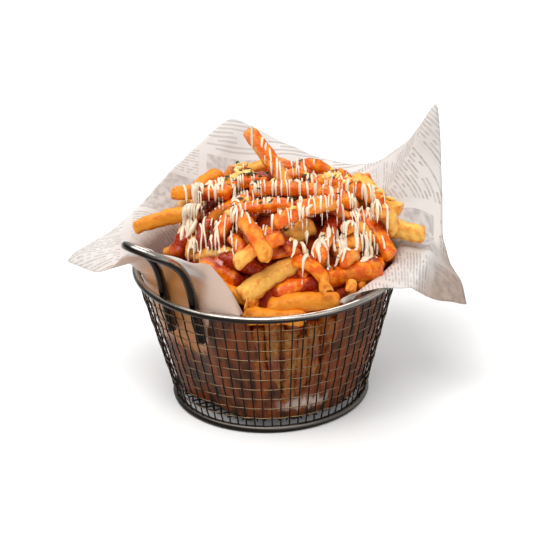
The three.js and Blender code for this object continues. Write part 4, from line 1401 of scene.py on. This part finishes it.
class Heap:
    """Where every fry of the heap lies, and how high the heap stands at a place in plan"""

    def __init__(self, fillers):
        named = [
            {"start": np.array(start, float), "end": np.array(end, float), "width": width,
             "bend": bend, "roll": 45, "sauce": sauce, "taper": taper}
            for start, end, width, bend, sauce, taper in NAMED_FRIES.values()
        ]
        shown = spiral_fries(
            SCATTERED_FRIES, RANDOM_SEED, first_azimuth=0, rise=(1, 4), half_length=(15, 26),
            width=(7.3, 8.7),
        )
        between = spiral_fries(
            fillers, RANDOM_SEED + 5, first_azimuth=60, rise=(-6, 1), half_length=(9, 17),
            width=(6.0, 8.0),
        )
        fries = named + shown + between
        fixed = np.arange(len(fries)) < len(named)
        starts = np.array([one["start"] for one in fries])
        ends = np.array([one["end"] for one in fries])
        widths = np.array([one["width"] for one in fries])
        starts, ends = settle(starts, ends, widths, fixed)
        for one, start, end, kept in zip(fries, starts, ends, fixed):
            if not kept:
                middle = (start + end) / 2
                one["start"], one["end"] = drawn_in(start, middle), drawn_in(end, middle)
        top = named + self.not_in_front(named, shown)
        self.fries = top + self.not_in_front(named, between)
        self.top_count = len(top)
        self.top = self.measure()
        self.soft_top = blurred(self.top, 13)

    def not_in_front(self, named, loose):
        """Leaves out loose fries that lie in a bare place, or that would hide more than a share
        of a fry that the heap is known by, seen from where the photo was taken."""
        down = np.radians(VIEW_DOWN)
        seen = np.array([
            [1, 0, 0], [0, np.sin(down), np.cos(down)], [0, np.cos(down), -np.sin(down)],
        ])
        t = np.linspace(0, 1, 13)[:, None]

        def sampled(one):
            return (one["start"] * (1 - t) + one["end"] * t) @ seen.T

        # A loose fry hides a place that it lies nearer than, within half of both half widths
        known = np.array([sampled(one) for one in named])
        widths = np.array([one["width"] for one in named])
        at_front = np.array([one["start"][1] < FRONT_START for one in named])
        limits = np.where(at_front, HIDDEN_AT_FRONT, HIDDEN_ELSEWHERE)
        hidden = np.zeros(known.shape[:2], bool)
        kept = []
        for one in loose:
            if in_a_bare_place(one["start"], one["end"]):
                continue
            ours = sampled(one)
            apart = np.linalg.norm(known[:, :, None, :2] - ours[None, None, :, :2], axis=-1)
            room = 0.26 * (widths[:, None, None] + one["width"])
            over = ((apart < room) & (ours[None, None, :, 2] < known[:, :, None, 2])).any(axis=2)
            if ((hidden | over).mean(axis=1) > limits)[over.any(axis=1)].any():
                continue
            hidden |= over
            kept.append(one)
        return kept

    def measure(self):
        """The heap's height on a square grid: the highest of balls along every fry's bent middle
        line, a little larger than the fry is thick."""
        balls_each, end_share, radius_share = 24, 0.06, 0.53
        starts = np.array([one["start"] for one in self.fries])[:, None]
        ends = np.array([one["end"] for one in self.fries])[:, None]
        bends = np.array([one["bend"] for one in self.fries])[:, None, None]
        t = np.linspace(end_share, 1 - end_share, balls_each)[None, :, None]
        balls = starts + (ends - starts) * t + 4 * bends * t * (1 - t) * np.array([0, 0, 1])
        thinned = np.array([one.get("taper", 0.0) for one in self.fries])[:, None]
        widths = np.array([one["width"] for one in self.fries])[:, None]
        shares = radius_share * widths * (1 - thinned * np.linspace(0, 1, balls_each))
        radius = shares.ravel()
        axis = np.arange(-GRID_REACH, GRID_REACH + GRID_PITCH, GRID_PITCH)
        x, y = np.meshgrid(axis, axis, indexing="ij")
        top = np.full(x.shape, float(GRID_LOW))
        for (cx, cy, cz), r in zip(balls.reshape(-1, 3), radius):
            i0, i1 = np.searchsorted(axis, (cx - r, cx + r))
            j0, j1 = np.searchsorted(axis, (cy - r, cy + r))
            away = (x[i0:i1, j0:j1] - cx) ** 2 + (y[i0:i1, j0:j1] - cy) ** 2
            ball = cz + np.sqrt(np.clip(r * r - away, 0, None))
            ball = np.where(away < r * r, ball, GRID_LOW)
            top[i0:i1, j0:j1] = np.maximum(top[i0:i1, j0:j1], ball)
        return top

    def height(self, x, y, field=None):
        """The height at places in plan, linear between the grid's points."""
        field = self.top if field is None else field
        u = np.clip((np.asarray(x, float) + GRID_REACH) / GRID_PITCH, 0, field.shape[0] - 2)
        v = np.clip((np.asarray(y, float) + GRID_REACH) / GRID_PITCH, 0, field.shape[1] - 2)
        i, j = u.astype(int), v.astype(int)
        u, v = u - i, v - j
        low = field[i, j] * (1 - u) + field[i + 1, j] * u
        high = field[i, j + 1] * (1 - u) + field[i + 1, j + 1] * u
        return low * (1 - v) + high * v


@lru_cache(maxsize=1)
def heap_with(fillers):
    """The heap, worked out once for a number of filler fries."""
    return Heap(fillers)


def heap():
    return heap_with(looks().heap.filler_fries)


def blurred(field, width):
    """The field averaged over a square window of that many points, twice each way."""
    kernel = np.ones(width) / width
    half = width // 2
    for _ in range(2):
        for axis, more in enumerate((((half, half), (0, 0)), ((0, 0), (half, half)))):
            padded = np.pad(field, more, "edge")
            field = np.apply_along_axis(np.convolve, axis, padded, kernel, "valid")
    return field


def patches(points, length, seed):
    """Soft patches from -1 to 1: a sum of sines in fixed random directions, about `length` long."""
    random = np.random.default_rng(seed)
    total = 0
    for _ in range(5):
        direction = unit(random.normal(size=3)) * TAU / (length * random.uniform(0.7, 1.5))
        total = total + np.sin(points @ direction + random.uniform(0, TAU))
    return total / 3


def sauce_cover(points):
    """How much sauce lies at a place: most on the heap's middle, none on the ends that stand out
    over the rim, and patchy between."""
    middle_x, middle_y = SAUCE_MIDDLE
    away = np.hypot((points[..., 0] - middle_x) / SAUCE_STRETCH, points[..., 1] - middle_y)
    cover = 1 - smooth_step(away, *SAUCE_FADES)
    return cover * (SAUCE_MEAN + SAUCE_PATCHES * patches(points, length=20, seed=3))


def sauce_depth(points):
    """How thick and dark sauce is at a place: the more the deeper it lies under the heap's soft
    top, which is partly thick sauce and partly painted shade in the recesses between fries, and
    more in the hollow and on the left."""
    by_depth, by_patch, by_hollow, by_side = 0.85, 0.5, 1.5, 0.5
    below = heap().height(points[:, 0], points[:, 1], heap().soft_top) - points[:, 2]
    # Painted shade in part: the deeper a place lies under the soft top, the darker its sauce
    deep = by_depth * smooth_step(below, 0, SAUCE_DEEP)
    deep = deep + by_patch * patches(points, length=20, seed=8)
    in_hollow = np.exp(-((from_pool(points) / HOLLOW_WIDTH) ** 2)) * (points[:, 2] < HOLLOW_BELOW)
    return deep + by_hollow * in_hollow + by_side * smooth_step(-points[:, 0], *THICKER_LEFT)


def food_piece(name, points, quads, fans, finish, values=None):
    """A shown piece that stands for a share of the heap."""
    piece = mesh_piece(name, points, quads, fans, finish, values)
    stand_for("fries_heap")
    return piece


def fry_piece(name, fries, seed, brown_more=0.0, shade=0.0, rows=34, sides=16):
    """Sticks of rounded square section: points [fry, row, side], a few sines thick and thin.

    A row's outline is the curve |x|^n + |y|^n = 1 with n = 4.5, times half the thickness. The ends
    are rounded over a short stretch in the same way with n = 2.6, and cut a little askew.
    """
    random = np.random.default_rng(seed)
    count = len(fries)

    def each(key, otherwise=0.0):
        return np.array([one.get(key, otherwise) for one in fries], float)[:, None]

    def for_points(per_fry):
        return np.concatenate([np.repeat(per_fry, rows * sides), per_fry, per_fry])

    start, end = each("start"), each("end")
    width, bend, taper = each("width")[..., None], each("bend")[..., None], each("taper")[..., None]
    roll = np.radians(each("roll") - 45)[..., None]
    length = np.linalg.norm(end - start, axis=-1)[:, :, None]

    # Rows crowd together at both ends, where the stick is rounded off
    share = np.linspace(-1, 1, rows)
    t = 0.5 + 0.5 * np.sign(share) * (1 - (1 - np.abs(share)) ** 1.7)
    t = t[None, :, None]
    from_end = np.minimum(t, 1 - t) * length
    end_power = 2.6
    rounding = 2.6 + random.uniform(0, 1.2, (count, 1, 1))
    closing = 1 - np.clip(1 - from_end / rounding, 0, 1) ** end_power
    end_scale = np.clip(closing, 0, 1) ** (1 / end_power)

    ahead = unit(end - start)
    side = unit(np.cross([0, 0, 1], ahead))
    up = np.cross(ahead, side)
    angle = TAU * np.arange(sides)[None, None, :] / sides
    power = 4.5
    outline = (np.abs(np.cos(angle)) ** power + np.abs(np.sin(angle)) ** power) ** (-1 / power)
    turn = angle + roll + random.uniform(-0.25, 0.25, (count, 1, 1)) * (2 * t - 1)
    phase = random.uniform(0, TAU, (4, count, 1, 1))
    # Two slow waves make a fry thick and thin, and two fine ones make its crust uneven
    wobble = 1 + 0.05 * np.sin(TAU * 1.3 * t + phase[0]) + 0.04 * np.sin(TAU * 3.1 * t + phase[1])
    crust = 0.22 * np.sin(length * t / 2.3 + phase[2] + 2 * angle) * np.sin(3 * angle + phase[3])
    crust = crust + 0.2 * np.sin(length * t / 1.1 + phase[1] - 3 * angle + phase[0])
    radius = 0.5 * width * (1 - taper * t) * outline * wobble * end_scale + crust * end_scale
    flatness = random.uniform(0.86, 1.06, (count, 1, 1))
    askew = random.uniform(-0.28, 0.28, (2, count, 1, 1)) * (2 * t - 1) ** 6

    across = radius * np.cos(turn)
    rise = radius * np.sin(turn) * flatness
    along = length * t + askew[0] * across + askew[1] * rise
    sag = 4 * bend * t * (1 - t)
    sway = random.uniform(-0.5, 0.5, (count, 1, 1)) * np.sin(np.pi * t)
    points = (
        start[:, :, None] + ahead[:, :, None] * along[..., None]
        + side[:, :, None] * (across + sway)[..., None] + up[:, :, None] * (rise + sag)[..., None]
    )
    quads, fans = grid_faces(count, rows, sides)
    flat = np.concatenate([points.reshape(-1, 3), points[:, 0].mean(1), points[:, -1].mean(1)])

    # A fry without a sauce share of its own has what lies at its place
    given = [one.get("sauce") for one in fries]
    own = for_points(np.array([-1.0 if value is None else value for value in given]))
    share = for_points(random.uniform(0.62, 1.12, count) ** 1.5)
    spread = sauce_cover(flat) * share * (1 - 0.26 * smooth_step(flat[:, 0], 14, 48))
    cover = np.where(own < 0, spread, own * (0.85 + 0.25 * patches(flat, length=18, seed=4)))
    tint = for_points(random.uniform(0, 1, count))
    at_corner = np.abs(np.sin(2 * angle)) ** 3
    at_end = np.exp(-from_end / 2.2)
    brown = np.clip(0.75 * at_corner + 0.6 * at_end + brown_more, 0, 1)
    brown = np.broadcast_to(brown, radius.shape).ravel()
    brown = np.concatenate([brown, np.full(2 * count, 0.3 + brown_more)])
    food_piece(name, flat, quads, fans, fry_finish(), {
        "sauce": cover, "tint": tint, "brown": brown, "deep": sauce_depth(flat), "shade": shade,
    })


class FRIESBASKET_OT_heap_core(bpy.types.Operator):
    """Make the dark inside of the heap: the bare dome, kept a fry's thickness under its top"""

    bl_idname = "friesbasket.heap_core"
    bl_label = "Heap core"

    def execute(self, context):
        azimuth = np.arange(CORE_COLUMNS) * (360 / CORE_COLUMNS)
        side_rows, top_rows = CORE_ROWS
        low = HEAP_FLOOR + 1
        height = np.linspace(low, HEAP_SHOULDER - FRY_THICKNESS, side_rows)[:, None]
        side = polar(azimuth, paper_radius(azimuth, height) - CORE_GAP, height)
        t = np.linspace(0, CORE_TOP, top_rows)[:, None]
        top = dome(azimuth, t) * CORE_NARROWER - [0, 0, FRY_THICKNESS]
        points = np.concatenate([side, top])
        # The left side is flattened, under the hollow with thick sauce
        slope, further = CORE_LEFT
        points[..., 0] = np.maximum(points[..., 0], slope * points[..., 0] - further)
        lumps = CORE_LUMP * patches(points, length=12, seed=6)
        points = points + unit(points - CORE_MIDDLE) * lumps[..., None]
        quads, fans = grid_faces(1, len(points), len(azimuth))
        tips = np.array([[0, 0, low], [HEAP_TOP[0], HEAP_TOP[1], HEAP_TOP[2] - FRY_THICKNESS]])
        flat = np.concatenate([points.reshape(-1, 3), tips])
        finish = soft_food(
            "heap inside", srgb(186, 62, 10), srgb(112, 22, 4), scale=130.0, roughness=0.5,
            bump_depth=0.002, Specular_IOR_Level=0.15,
        )
        food_piece("heap_core", flat, quads, fans, finish)
        return {"FINISHED"}


class FRIESBASKET_OT_fries(bpy.types.Operator):
    """Make the fries of the heap, and those that stand against the bare mesh at the front"""

    bl_idname = "friesbasket.fries"
    bl_label = "Fries"

    def execute(self, context):
        made = heap()
        fry_piece("fries_on_top", made.fries[:made.top_count], seed=21)
        fry_piece("fries_between", made.fries[made.top_count:], seed=23, rows=24, sides=12)
        random = random_stream(RANDOM_SEED + 1)
        standing = []
        for i, azimuth in enumerate(np.linspace(*WALL_FRY_AZIMUTHS, WALL_FRIES)):
            low = WALL_FRY_LOW[0] + WALL_FRY_LOW[1] * next(random)
            lean = WALL_FRY_LEAN * (next(random) - 0.5)
            depth = WALL_FRY_GAP + WALL_FRY_DEEPER[i % 2]
            high = WALL_FRY_HIGH[0] + WALL_FRY_HIGH[1] * next(random)
            standing.append({
                "start": polar(azimuth, wall_radius(low) - depth, low),
                "end": polar(azimuth + lean, wall_radius(high) - depth, high),
                "width": WALL_FRY_WIDTH, "bend": 0.0, "roll": 45 + azimuth, "sauce": 0.45,
            })
        # These fries get more browning and, by their shade value, painted shade of the basket's
        # inside
        fry_piece("fries_behind_mesh", standing, seed=22, brown_more=0.6, shade=0.72)
        return {"FINISHED"}


class FRIESBASKET_OT_sauce(bpy.types.Operator):
    """Make the thick sauce between the fries: the heap's height, blurred, where sauce lies"""

    bl_idname = "friesbasket.sauce"
    bl_label = "Thick sauce"

    def execute(self, context):
        made = heap()
        pitch = 1.1
        axis = np.arange(-54, 70, pitch)
        x, y = np.meshgrid(axis, axis, indexing="ij")
        level = made.height(x, y, blurred(made.top, 7))
        top = made.height(x, y)
        surface = np.minimum(level - SAUCE_UNDER, top + SAUCE_OVER)
        places = np.stack([x, y, surface], axis=-1)
        steep = np.hypot(*np.gradient(surface, axis[1] - axis[0]))
        kept = sauce_cover(places) + 0.3 * patches(places, length=14, seed=12) > SAUCE_LEAST
        kept &= (top > SAUCE_LOWEST) & (steep < SAUCE_STEEPEST)
        cell = kept[:-1, :-1] & kept[1:, :-1] & kept[1:, 1:] & kept[:-1, 1:]
        number = np.arange(x.size).reshape(x.shape)
        corners = (number[:-1, :-1], number[1:, :-1], number[1:, 1:], number[:-1, 1:])
        quads = np.stack([c[cell] for c in corners], axis=-1)
        used, quads = np.unique(quads, return_inverse=True)
        quads = quads.reshape(-1, 4)
        flat = places.reshape(-1, 3)[used]
        finish = soft_food(
            "thick sauce", looks().heap.sauce, looks().heap.sauce_thick_and_shaded, scale=110.0,
            roughness=0.16, bump_depth=0.001, Subsurface_Weight=0.15,
            Subsurface_Radius=(1.0, 0.3, 0.1), Subsurface_Scale=0.002, Coat_Weight=0.5,
            Coat_Roughness=0.08,
        )
        piece = food_piece("sauce_between_fries", flat, quads, np.zeros((0, 3), int), finish)
        wall = piece.modifiers.new("thickness", "SOLIDIFY")
        wall.thickness = SAUCE_THICKNESS * MM
        wall.offset = -1
        return {"FINISHED"}


def draped(plan, lift, hang):
    """Strings laid on the heap [string, row], and how thick they are there, from 0 to 1.

    At an edge a string hangs down by `hang` from the highest place near it and ends. It starts
    again on what lies below; between the two it is as thin as nothing.
    """
    height = heap().height(plan[..., 0], plan[..., 1])
    step = np.linalg.norm(np.diff(plan, axis=1), axis=-1).mean()
    reach = max(1, int(round(STRING_REACH / step)))
    padded = np.pad(height, [(0, 0), (reach, reach)], "edge")
    windows = np.lib.stride_tricks.sliding_window_view(padded, 2 * reach + 1, axis=1)
    lowest = windows.max(axis=-1) - hang
    resting = height >= lowest
    height = np.maximum(height, lowest)
    beside = np.pad(height, [(0, 0), (1, 1)], "edge")
    higher = np.maximum(beside[:, :-2], beside[:, 2:]) - height
    held = np.pad(resting, [(0, 0), (1, 1)], "edge")
    held = (held[:, :-2] & (beside[:, :-2] > height)) | (held[:, 2:] & (beside[:, 2:] > height))
    under_an_end = resting & (higher > END_DROP)
    thickness = np.where(held & ~resting, HANGING, BETWEEN)
    thickness = np.where(resting & ~under_an_end, AT_REST, thickness)
    softer = (height[:, :-2] + 2 * height[:, 1:-1] + height[:, 2:]) / 4
    inner = resting[:, :-2] & resting[:, 1:-1] & resting[:, 2:]
    height[:, 1:-1] = np.where(inner, softer, height[:, 1:-1])
    return np.concatenate([plan, (height + lift)[..., None]], axis=-1), thickness


def off_pool(plan):
    """0 over the pool of thick sauce on the left, which stays bare, and 1 round it."""
    return 0.01 + 0.99 * smooth_step(from_pool(plan), 6, 8)


def on_level(plan, length, seed):
    """Soft patches over places in plan."""
    return patches(np.pad(plan, [(0, 0), (0, 0), (0, 1)]), length, seed)


def thin_strokes(random, radius, pitch):
    """Strokes to and fro along Y, each with a slow sway: their lines and radii.

    They break off where they would be thinnest, except on the raised fry, where none gets thin.
    """
    strokes = []
    middle = np.arange(*STROKE_SPAN, pitch)
    middle = middle + random.uniform(-0.9, 0.9, len(middle))
    for i, x in enumerate(middle):
        off_middle = (x - STROKE_MIDDLE) / STROKE_SPREAD
        half = STROKE_REACH * np.sqrt(max(0.05, 1 - off_middle ** 2))
        turn = 1 if i % 2 else -1
        low = -3 - half * random.uniform(0.75, 1.0)
        high = half * random.uniform(0.7, 1.05)
        lean = random.uniform(-2.5, 2.5)
        y = np.linspace(low, high, STROKE_POINTS)[::turn]
        share = (y - low) / (high - low)
        sway = 0.9 * np.sin(share * random.uniform(9, 16) + random.uniform(0, TAU))
        zigzag = turn * 0.3 * pitch
        strokes.append(np.stack([x + (lean + zigzag) * (share - 0.5) + sway, y], axis=-1))
    plan = np.array(strokes)
    swell = 1 + 0.45 * on_level(plan, length=9, seed=15)
    lines, thickness = draped(plan, 0.45 * radius, STRING_HANG)
    height = lines[..., 2]
    low, high = RAISED_FRY_FROM
    raised = height > (low + high) / 2
    radii = radius * np.clip(swell, 0.3, 1.9) * thickness
    radii = np.maximum(radii, 0.7 * radius * thickness * raised)
    unbroken = np.maximum(smooth_step(swell, 0.45, 0.65), smooth_step(height, low, high))
    radii = radii * unbroken * off_pool(plan)
    radii[:, [0, -1]] *= 0.4
    return lines, radii


def thick_strokes(random, radius):
    """Short strokes, bowed to one side and rounded at both ends: their lines and radii."""
    paths = []
    t = np.linspace(0, 1, THICK_POINTS)
    for x, y, angle, length in THICK_STROKES:
        a = np.radians(angle)
        bow = 2.2 * np.sin(np.pi * t) * random.choice([-1, 1])
        along = length * t
        paths.append(np.stack([
            x + along * np.cos(a) - bow * np.sin(a), y + along * np.sin(a) + bow * np.cos(a),
        ], axis=-1))
    plan = np.array(paths)
    ends = np.clip(np.sin(np.pi * np.clip(t, 0.03, 0.97)), 0, 1) ** 0.35
    at_left = smooth_step(-plan.mean(axis=1)[:, :1], 26, 42)
    swell = 1 + 0.3 * on_level(plan, length=7, seed=17)
    lines, thickness = draped(plan, 0.5 * radius, THICK_HANG)
    radii = (1.8 + 0.5 * at_left) * radius * ends
    return lines, radii * swell * thickness * off_pool(plan)


class FRIESBASKET_OT_mayonnaise(bpy.types.Operator):
    """Make the mayonnaise: strokes to and fro over the heap, and thicker ones on top of them"""

    bl_idname = "friesbasket.mayonnaise"
    bl_label = "Mayonnaise"

    def execute(self, context):
        chosen = looks().heap
        random = np.random.default_rng(5)
        radius = chosen.string_thickness / MM / 2
        finish = soft_food(
            "mayonnaise", chosen.mayonnaise, dimmed(chosen.mayonnaise, 0.86), scale=90.0,
            roughness=0.25, bump_depth=0.0004, Subsurface_Weight=0.3,
            Subsurface_Radius=(1.0, 0.8, 0.6), Subsurface_Scale=0.002, Coat_Weight=0.3,
        )
        thin = thin_strokes(random, radius, chosen.string_pitch / MM)
        food_piece("mayonnaise_strings", *tubes(*thin, sides=7), finish)
        thick = thick_strokes(random, radius)
        food_piece("mayonnaise_thick", *tubes(*thick, sides=10), finish)
        return {"FINISHED"}


def specks(plan, sizes, flatness, seed, rows=5, sides=7):
    """Small closed lumps on the heap: stretched balls, flattened upwards and turned at random."""
    random = np.random.default_rng(seed)
    count = len(plan)
    top = heap().height(plan[:, 0], plan[:, 1])
    centre = np.concatenate([plan, top[:, None] + 0.5], axis=-1)
    polar_angle = np.linspace(0, np.pi, rows + 2)[1:-1][None, :, None]
    angle = (TAU * np.arange(sides) / sides)[None, None, :]
    bump = 1 + 0.25 * np.sin(angle * 2 + random.uniform(0, TAU, (count, 1, 1)))
    ball = np.stack(np.broadcast_arrays(
        np.sin(polar_angle) * np.cos(angle) * bump,
        np.sin(polar_angle) * np.sin(angle) * bump * random.uniform(0.45, 0.9, (count, 1, 1)),
        -np.cos(polar_angle) * flatness,
    ), axis=-1)
    tips = np.zeros((count, 2, 3))
    tips[:, 0, 2], tips[:, 1, 2] = -flatness, flatness
    ball = np.concatenate([ball.reshape(count, -1, 3), tips], axis=1)
    turns = np.linalg.qr(random.normal(size=(count, 3, 3)))[0]
    tilt = unit(turns * 0.45 + np.eye(3))
    ball = np.einsum("nij,nkj->nki", tilt, ball) * sizes[:, None, None] / 2 + centre[:, None]
    quads, fans = grid_faces(count, rows, sides)
    body, ends = ball[:, :-2].reshape(-1, 3), ball[:, -2:]
    return np.concatenate([body, ends[:, 0], ends[:, 1]]), quads, fans


def strewn(random, places):
    """Places in plan, strewn round the given ones, where the heap isn't too high."""
    plan = np.concatenate([
        np.asarray(middle) + random.normal(size=(count, 2)) * spread
        for count, middle, spread in places
    ])
    return plan[heap().height(plan[:, 0], plan[:, 1]) < SPRINKLES_BELOW]


class FRIESBASKET_OT_sprinkles(bpy.types.Operator):
    """Make the herb flakes and the pale yellow bits that lie on the heap"""

    bl_idname = "friesbasket.sprinkles"
    bl_label = "Sprinkles"

    def execute(self, context):
        chosen = looks().heap
        random = np.random.default_rng(9)
        plan = strewn(random, HERB_PLACES)
        plan = plan[np.hypot(plan[:, 0] - HERB_MIDDLE, plan[:, 1]) < HERB_REACH]
        sizes = random.uniform(1.2, 3.5, len(plan))
        green = soft_food(
            "herb", chosen.herb, dimmed(chosen.herb, 0.5), scale=300.0, roughness=0.6,
            bump_depth=0.0003,
        )
        food_piece("herb_flakes", *specks(plan, sizes, flatness=0.25, seed=31), green)

        plan = strewn(random, YELLOW_PLACES)
        sizes = random.uniform(2.0, 5.2, len(plan))
        yellow = soft_food(
            "yellow bits", srgb(250, 226, 140), srgb(238, 184, 84), scale=200.0, roughness=0.4,
            bump_depth=0.0006,
        )
        food_piece("yellow_bits", *specks(plan, sizes, flatness=0.7, seed=32), yellow)
        return {"FINISHED"}


# The stage

# How the photo was taken: the point that the camera faces, how far it stands from it, how steeply
# it looks down, its tilt and roll, and its focal length for a picture 533 pixels wide
VIEW_TARGET = (0, 0, 40)
VIEW_DISTANCE = 1330
VIEW_DOWN = 26.2
VIEW_PITCH = 1.387
VIEW_ROLL = 1.8
FOCAL_PIXELS = 2367
PICTURE_WIDTH = 533
SIDE_SHIFT_PIXELS = -0.8
SENSOR_WIDTH = 36.0
FLOOR_HALF = 6.0
# The lights: azimuth and height in degrees, share of the key's strength, spread and colour
WARM = (1.0, 0.99, 0.97)
WHITE = (1, 1, 1)
LIGHTS = {
    "key": (-165, 60, 0.5, 42, WARM),
    "second key": (-100, 66, 0.5, 36, WARM),
    "fill": (-50, 42, 0.15, 40, WHITE),
    "back": (75, 50, 0.25, 30, WHITE),
}


class FRIESBASKET_OT_camera(bpy.types.Operator):
    """Set the camera where the photo was taken from"""

    bl_idname = "friesbasket.camera"
    bl_label = "Camera"

    def execute(self, context):
        down, pitch, roll = (np.radians(v) for v in (VIEW_DOWN, VIEW_PITCH, VIEW_ROLL))
        right = np.array([1.0, 0.0, 0.0])
        ahead = np.array([0.0, np.cos(down), -np.sin(down)])
        up = np.array([0.0, np.sin(down), np.cos(down)])
        place = np.array(VIEW_TARGET) * MM + AXIS - ahead * VIEW_DISTANCE * MM
        aim = ahead * np.cos(pitch) + up * np.sin(pitch)
        top = up * np.cos(pitch) - ahead * np.sin(pitch)
        across = right * np.cos(roll) - top * np.sin(roll)
        upright = right * np.sin(roll) + top * np.cos(roll)
        matrix = np.eye(4)
        matrix[:3, 0], matrix[:3, 1], matrix[:3, 2], matrix[:3, 3] = across, upright, -aim, place
        data = bpy.data.cameras.new("photo camera")
        data.sensor_width = SENSOR_WIDTH
        data.lens = FOCAL_PIXELS / PICTURE_WIDTH * SENSOR_WIDTH
        data.shift_x = SIDE_SHIFT_PIXELS / PICTURE_WIDTH
        camera = bpy.data.objects.new("photo_camera", data)
        camera.matrix_world = Matrix(matrix.tolist())
        context.scene.collection.objects.link(camera)
        context.scene.camera = camera
        return {"FINISHED"}


def broad_light(name, from_azimuth, up, strength, spread, colour):
    """A light from far away, from an azimuth and a height in degrees, as broad as its spread."""
    data = bpy.data.lights.new(name, "SUN")
    data.energy = strength
    data.angle = np.radians(spread)
    data.color = colour
    light = bpy.data.objects.new(name, data)
    away = polar(from_azimuth, np.cos(np.radians(up)), np.sin(np.radians(up)))
    side = unit(np.cross([0, 0, 1], away))
    matrix = np.eye(4)
    matrix[:3, 0], matrix[:3, 1], matrix[:3, 2] = side, np.cross(away, side), away
    light.matrix_world = Matrix(matrix.tolist())
    bpy.context.scene.collection.objects.link(light)


class FRIESBASKET_OT_stage(bpy.types.Operator):
    """Set the pale floor and the soft light"""

    bl_idname = "friesbasket.stage"
    bl_label = "Stage"

    def execute(self, context):
        chosen = looks().stage
        mesh = bpy.data.meshes.new("floor")
        half = FLOOR_HALF
        corners = [(-half, -half, 0), (half, -half, 0), (half, half, 0), (-half, half, 0)]
        mesh.from_pydata(corners, [], [(0, 1, 2, 3)])
        floor = bpy.data.objects.new("floor", mesh)
        context.scene.collection.objects.link(floor)

        def build(w):
            soft = w.noise(w.place(), 3.0)
            return {"Base Color": w.blend(soft, dimmed(chosen.floor, 0.985), chosen.floor)}

        mesh.materials.append(material(
            "pale floor", build, Roughness=0.9, Specular_IOR_Level=0.1,
            Emission_Color=(1.0, 1.0, 1.0), Emission_Strength=0.05,
        ))

        world = bpy.data.worlds.new("soft sky")
        world.use_nodes = True
        background = world.node_tree.nodes["Background"]
        background.inputs["Color"].default_value = (1, 1, 1, 1)
        background.inputs["Strength"].default_value = chosen.sky
        context.scene.world = world
        for name, (azimuth, up, share, spread, colour) in LIGHTS.items():
            broad_light(name, azimuth, up, chosen.key * share, spread, colour)
        context.scene.view_settings.view_transform = "Standard"
        return {"FINISHED"}


class FRIESBASKET_PT_panel(bpy.types.Panel):
    """The sidebar's list of sizes, colours and pieces"""

    bl_label = "Fries basket"
    bl_idname = "FRIESBASKET_PT_panel"
    bl_space_type = "VIEW_3D"
    bl_region_type = "UI"
    bl_category = "Fries basket"

    def draw(self, context):
        for group in (looks().basket, looks().paper, looks().heap, looks().stage):
            box = self.layout.box()
            for key in group.bl_rna.properties.keys():
                if key not in ("rna_type", "name"):
                    box.prop(group, key)
        for operator in OPERATORS:
            self.layout.operator(operator.bl_idname)


OPERATORS = (
    FRIESBASKET_OT_camera,
    FRIESBASKET_OT_stage,
    FRIESBASKET_OT_rings,
    FRIESBASKET_OT_mesh_wall,
    FRIESBASKET_OT_floor_mesh,
    FRIESBASKET_OT_handle,
    FRIESBASKET_OT_paper,
    FRIESBASKET_OT_heap_core,
    FRIESBASKET_OT_fries,
    FRIESBASKET_OT_sauce,
    FRIESBASKET_OT_mayonnaise,
    FRIESBASKET_OT_sprinkles,
)
GROUPS = (BasketLooks, PaperLooks, HeapLooks, StageLooks, SceneLooks)


def register():
    for made in (*GROUPS, *OPERATORS, FRIESBASKET_PT_panel):
        bpy.utils.register_class(made)
    bpy.types.Scene.fries_basket = PointerProperty(type=SceneLooks)


def unregister():
    del bpy.types.Scene.fries_basket
    for made in reversed((*GROUPS, *OPERATORS, FRIESBASKET_PT_panel)):
        bpy.utils.unregister_class(made)


def main():
    register()
    bpy.ops.friesbasket.camera()
    bpy.ops.friesbasket.stage()
    bpy.ops.friesbasket.rings()
    bpy.ops.friesbasket.mesh_wall()
    bpy.ops.friesbasket.floor_mesh()
    bpy.ops.friesbasket.handle()
    bpy.ops.friesbasket.paper()
    bpy.ops.friesbasket.heap_core()
    bpy.ops.friesbasket.fries()
    bpy.ops.friesbasket.sauce()
    bpy.ops.friesbasket.mayonnaise()
    bpy.ops.friesbasket.sprinkles()


if __name__ == "__main__":
    main()
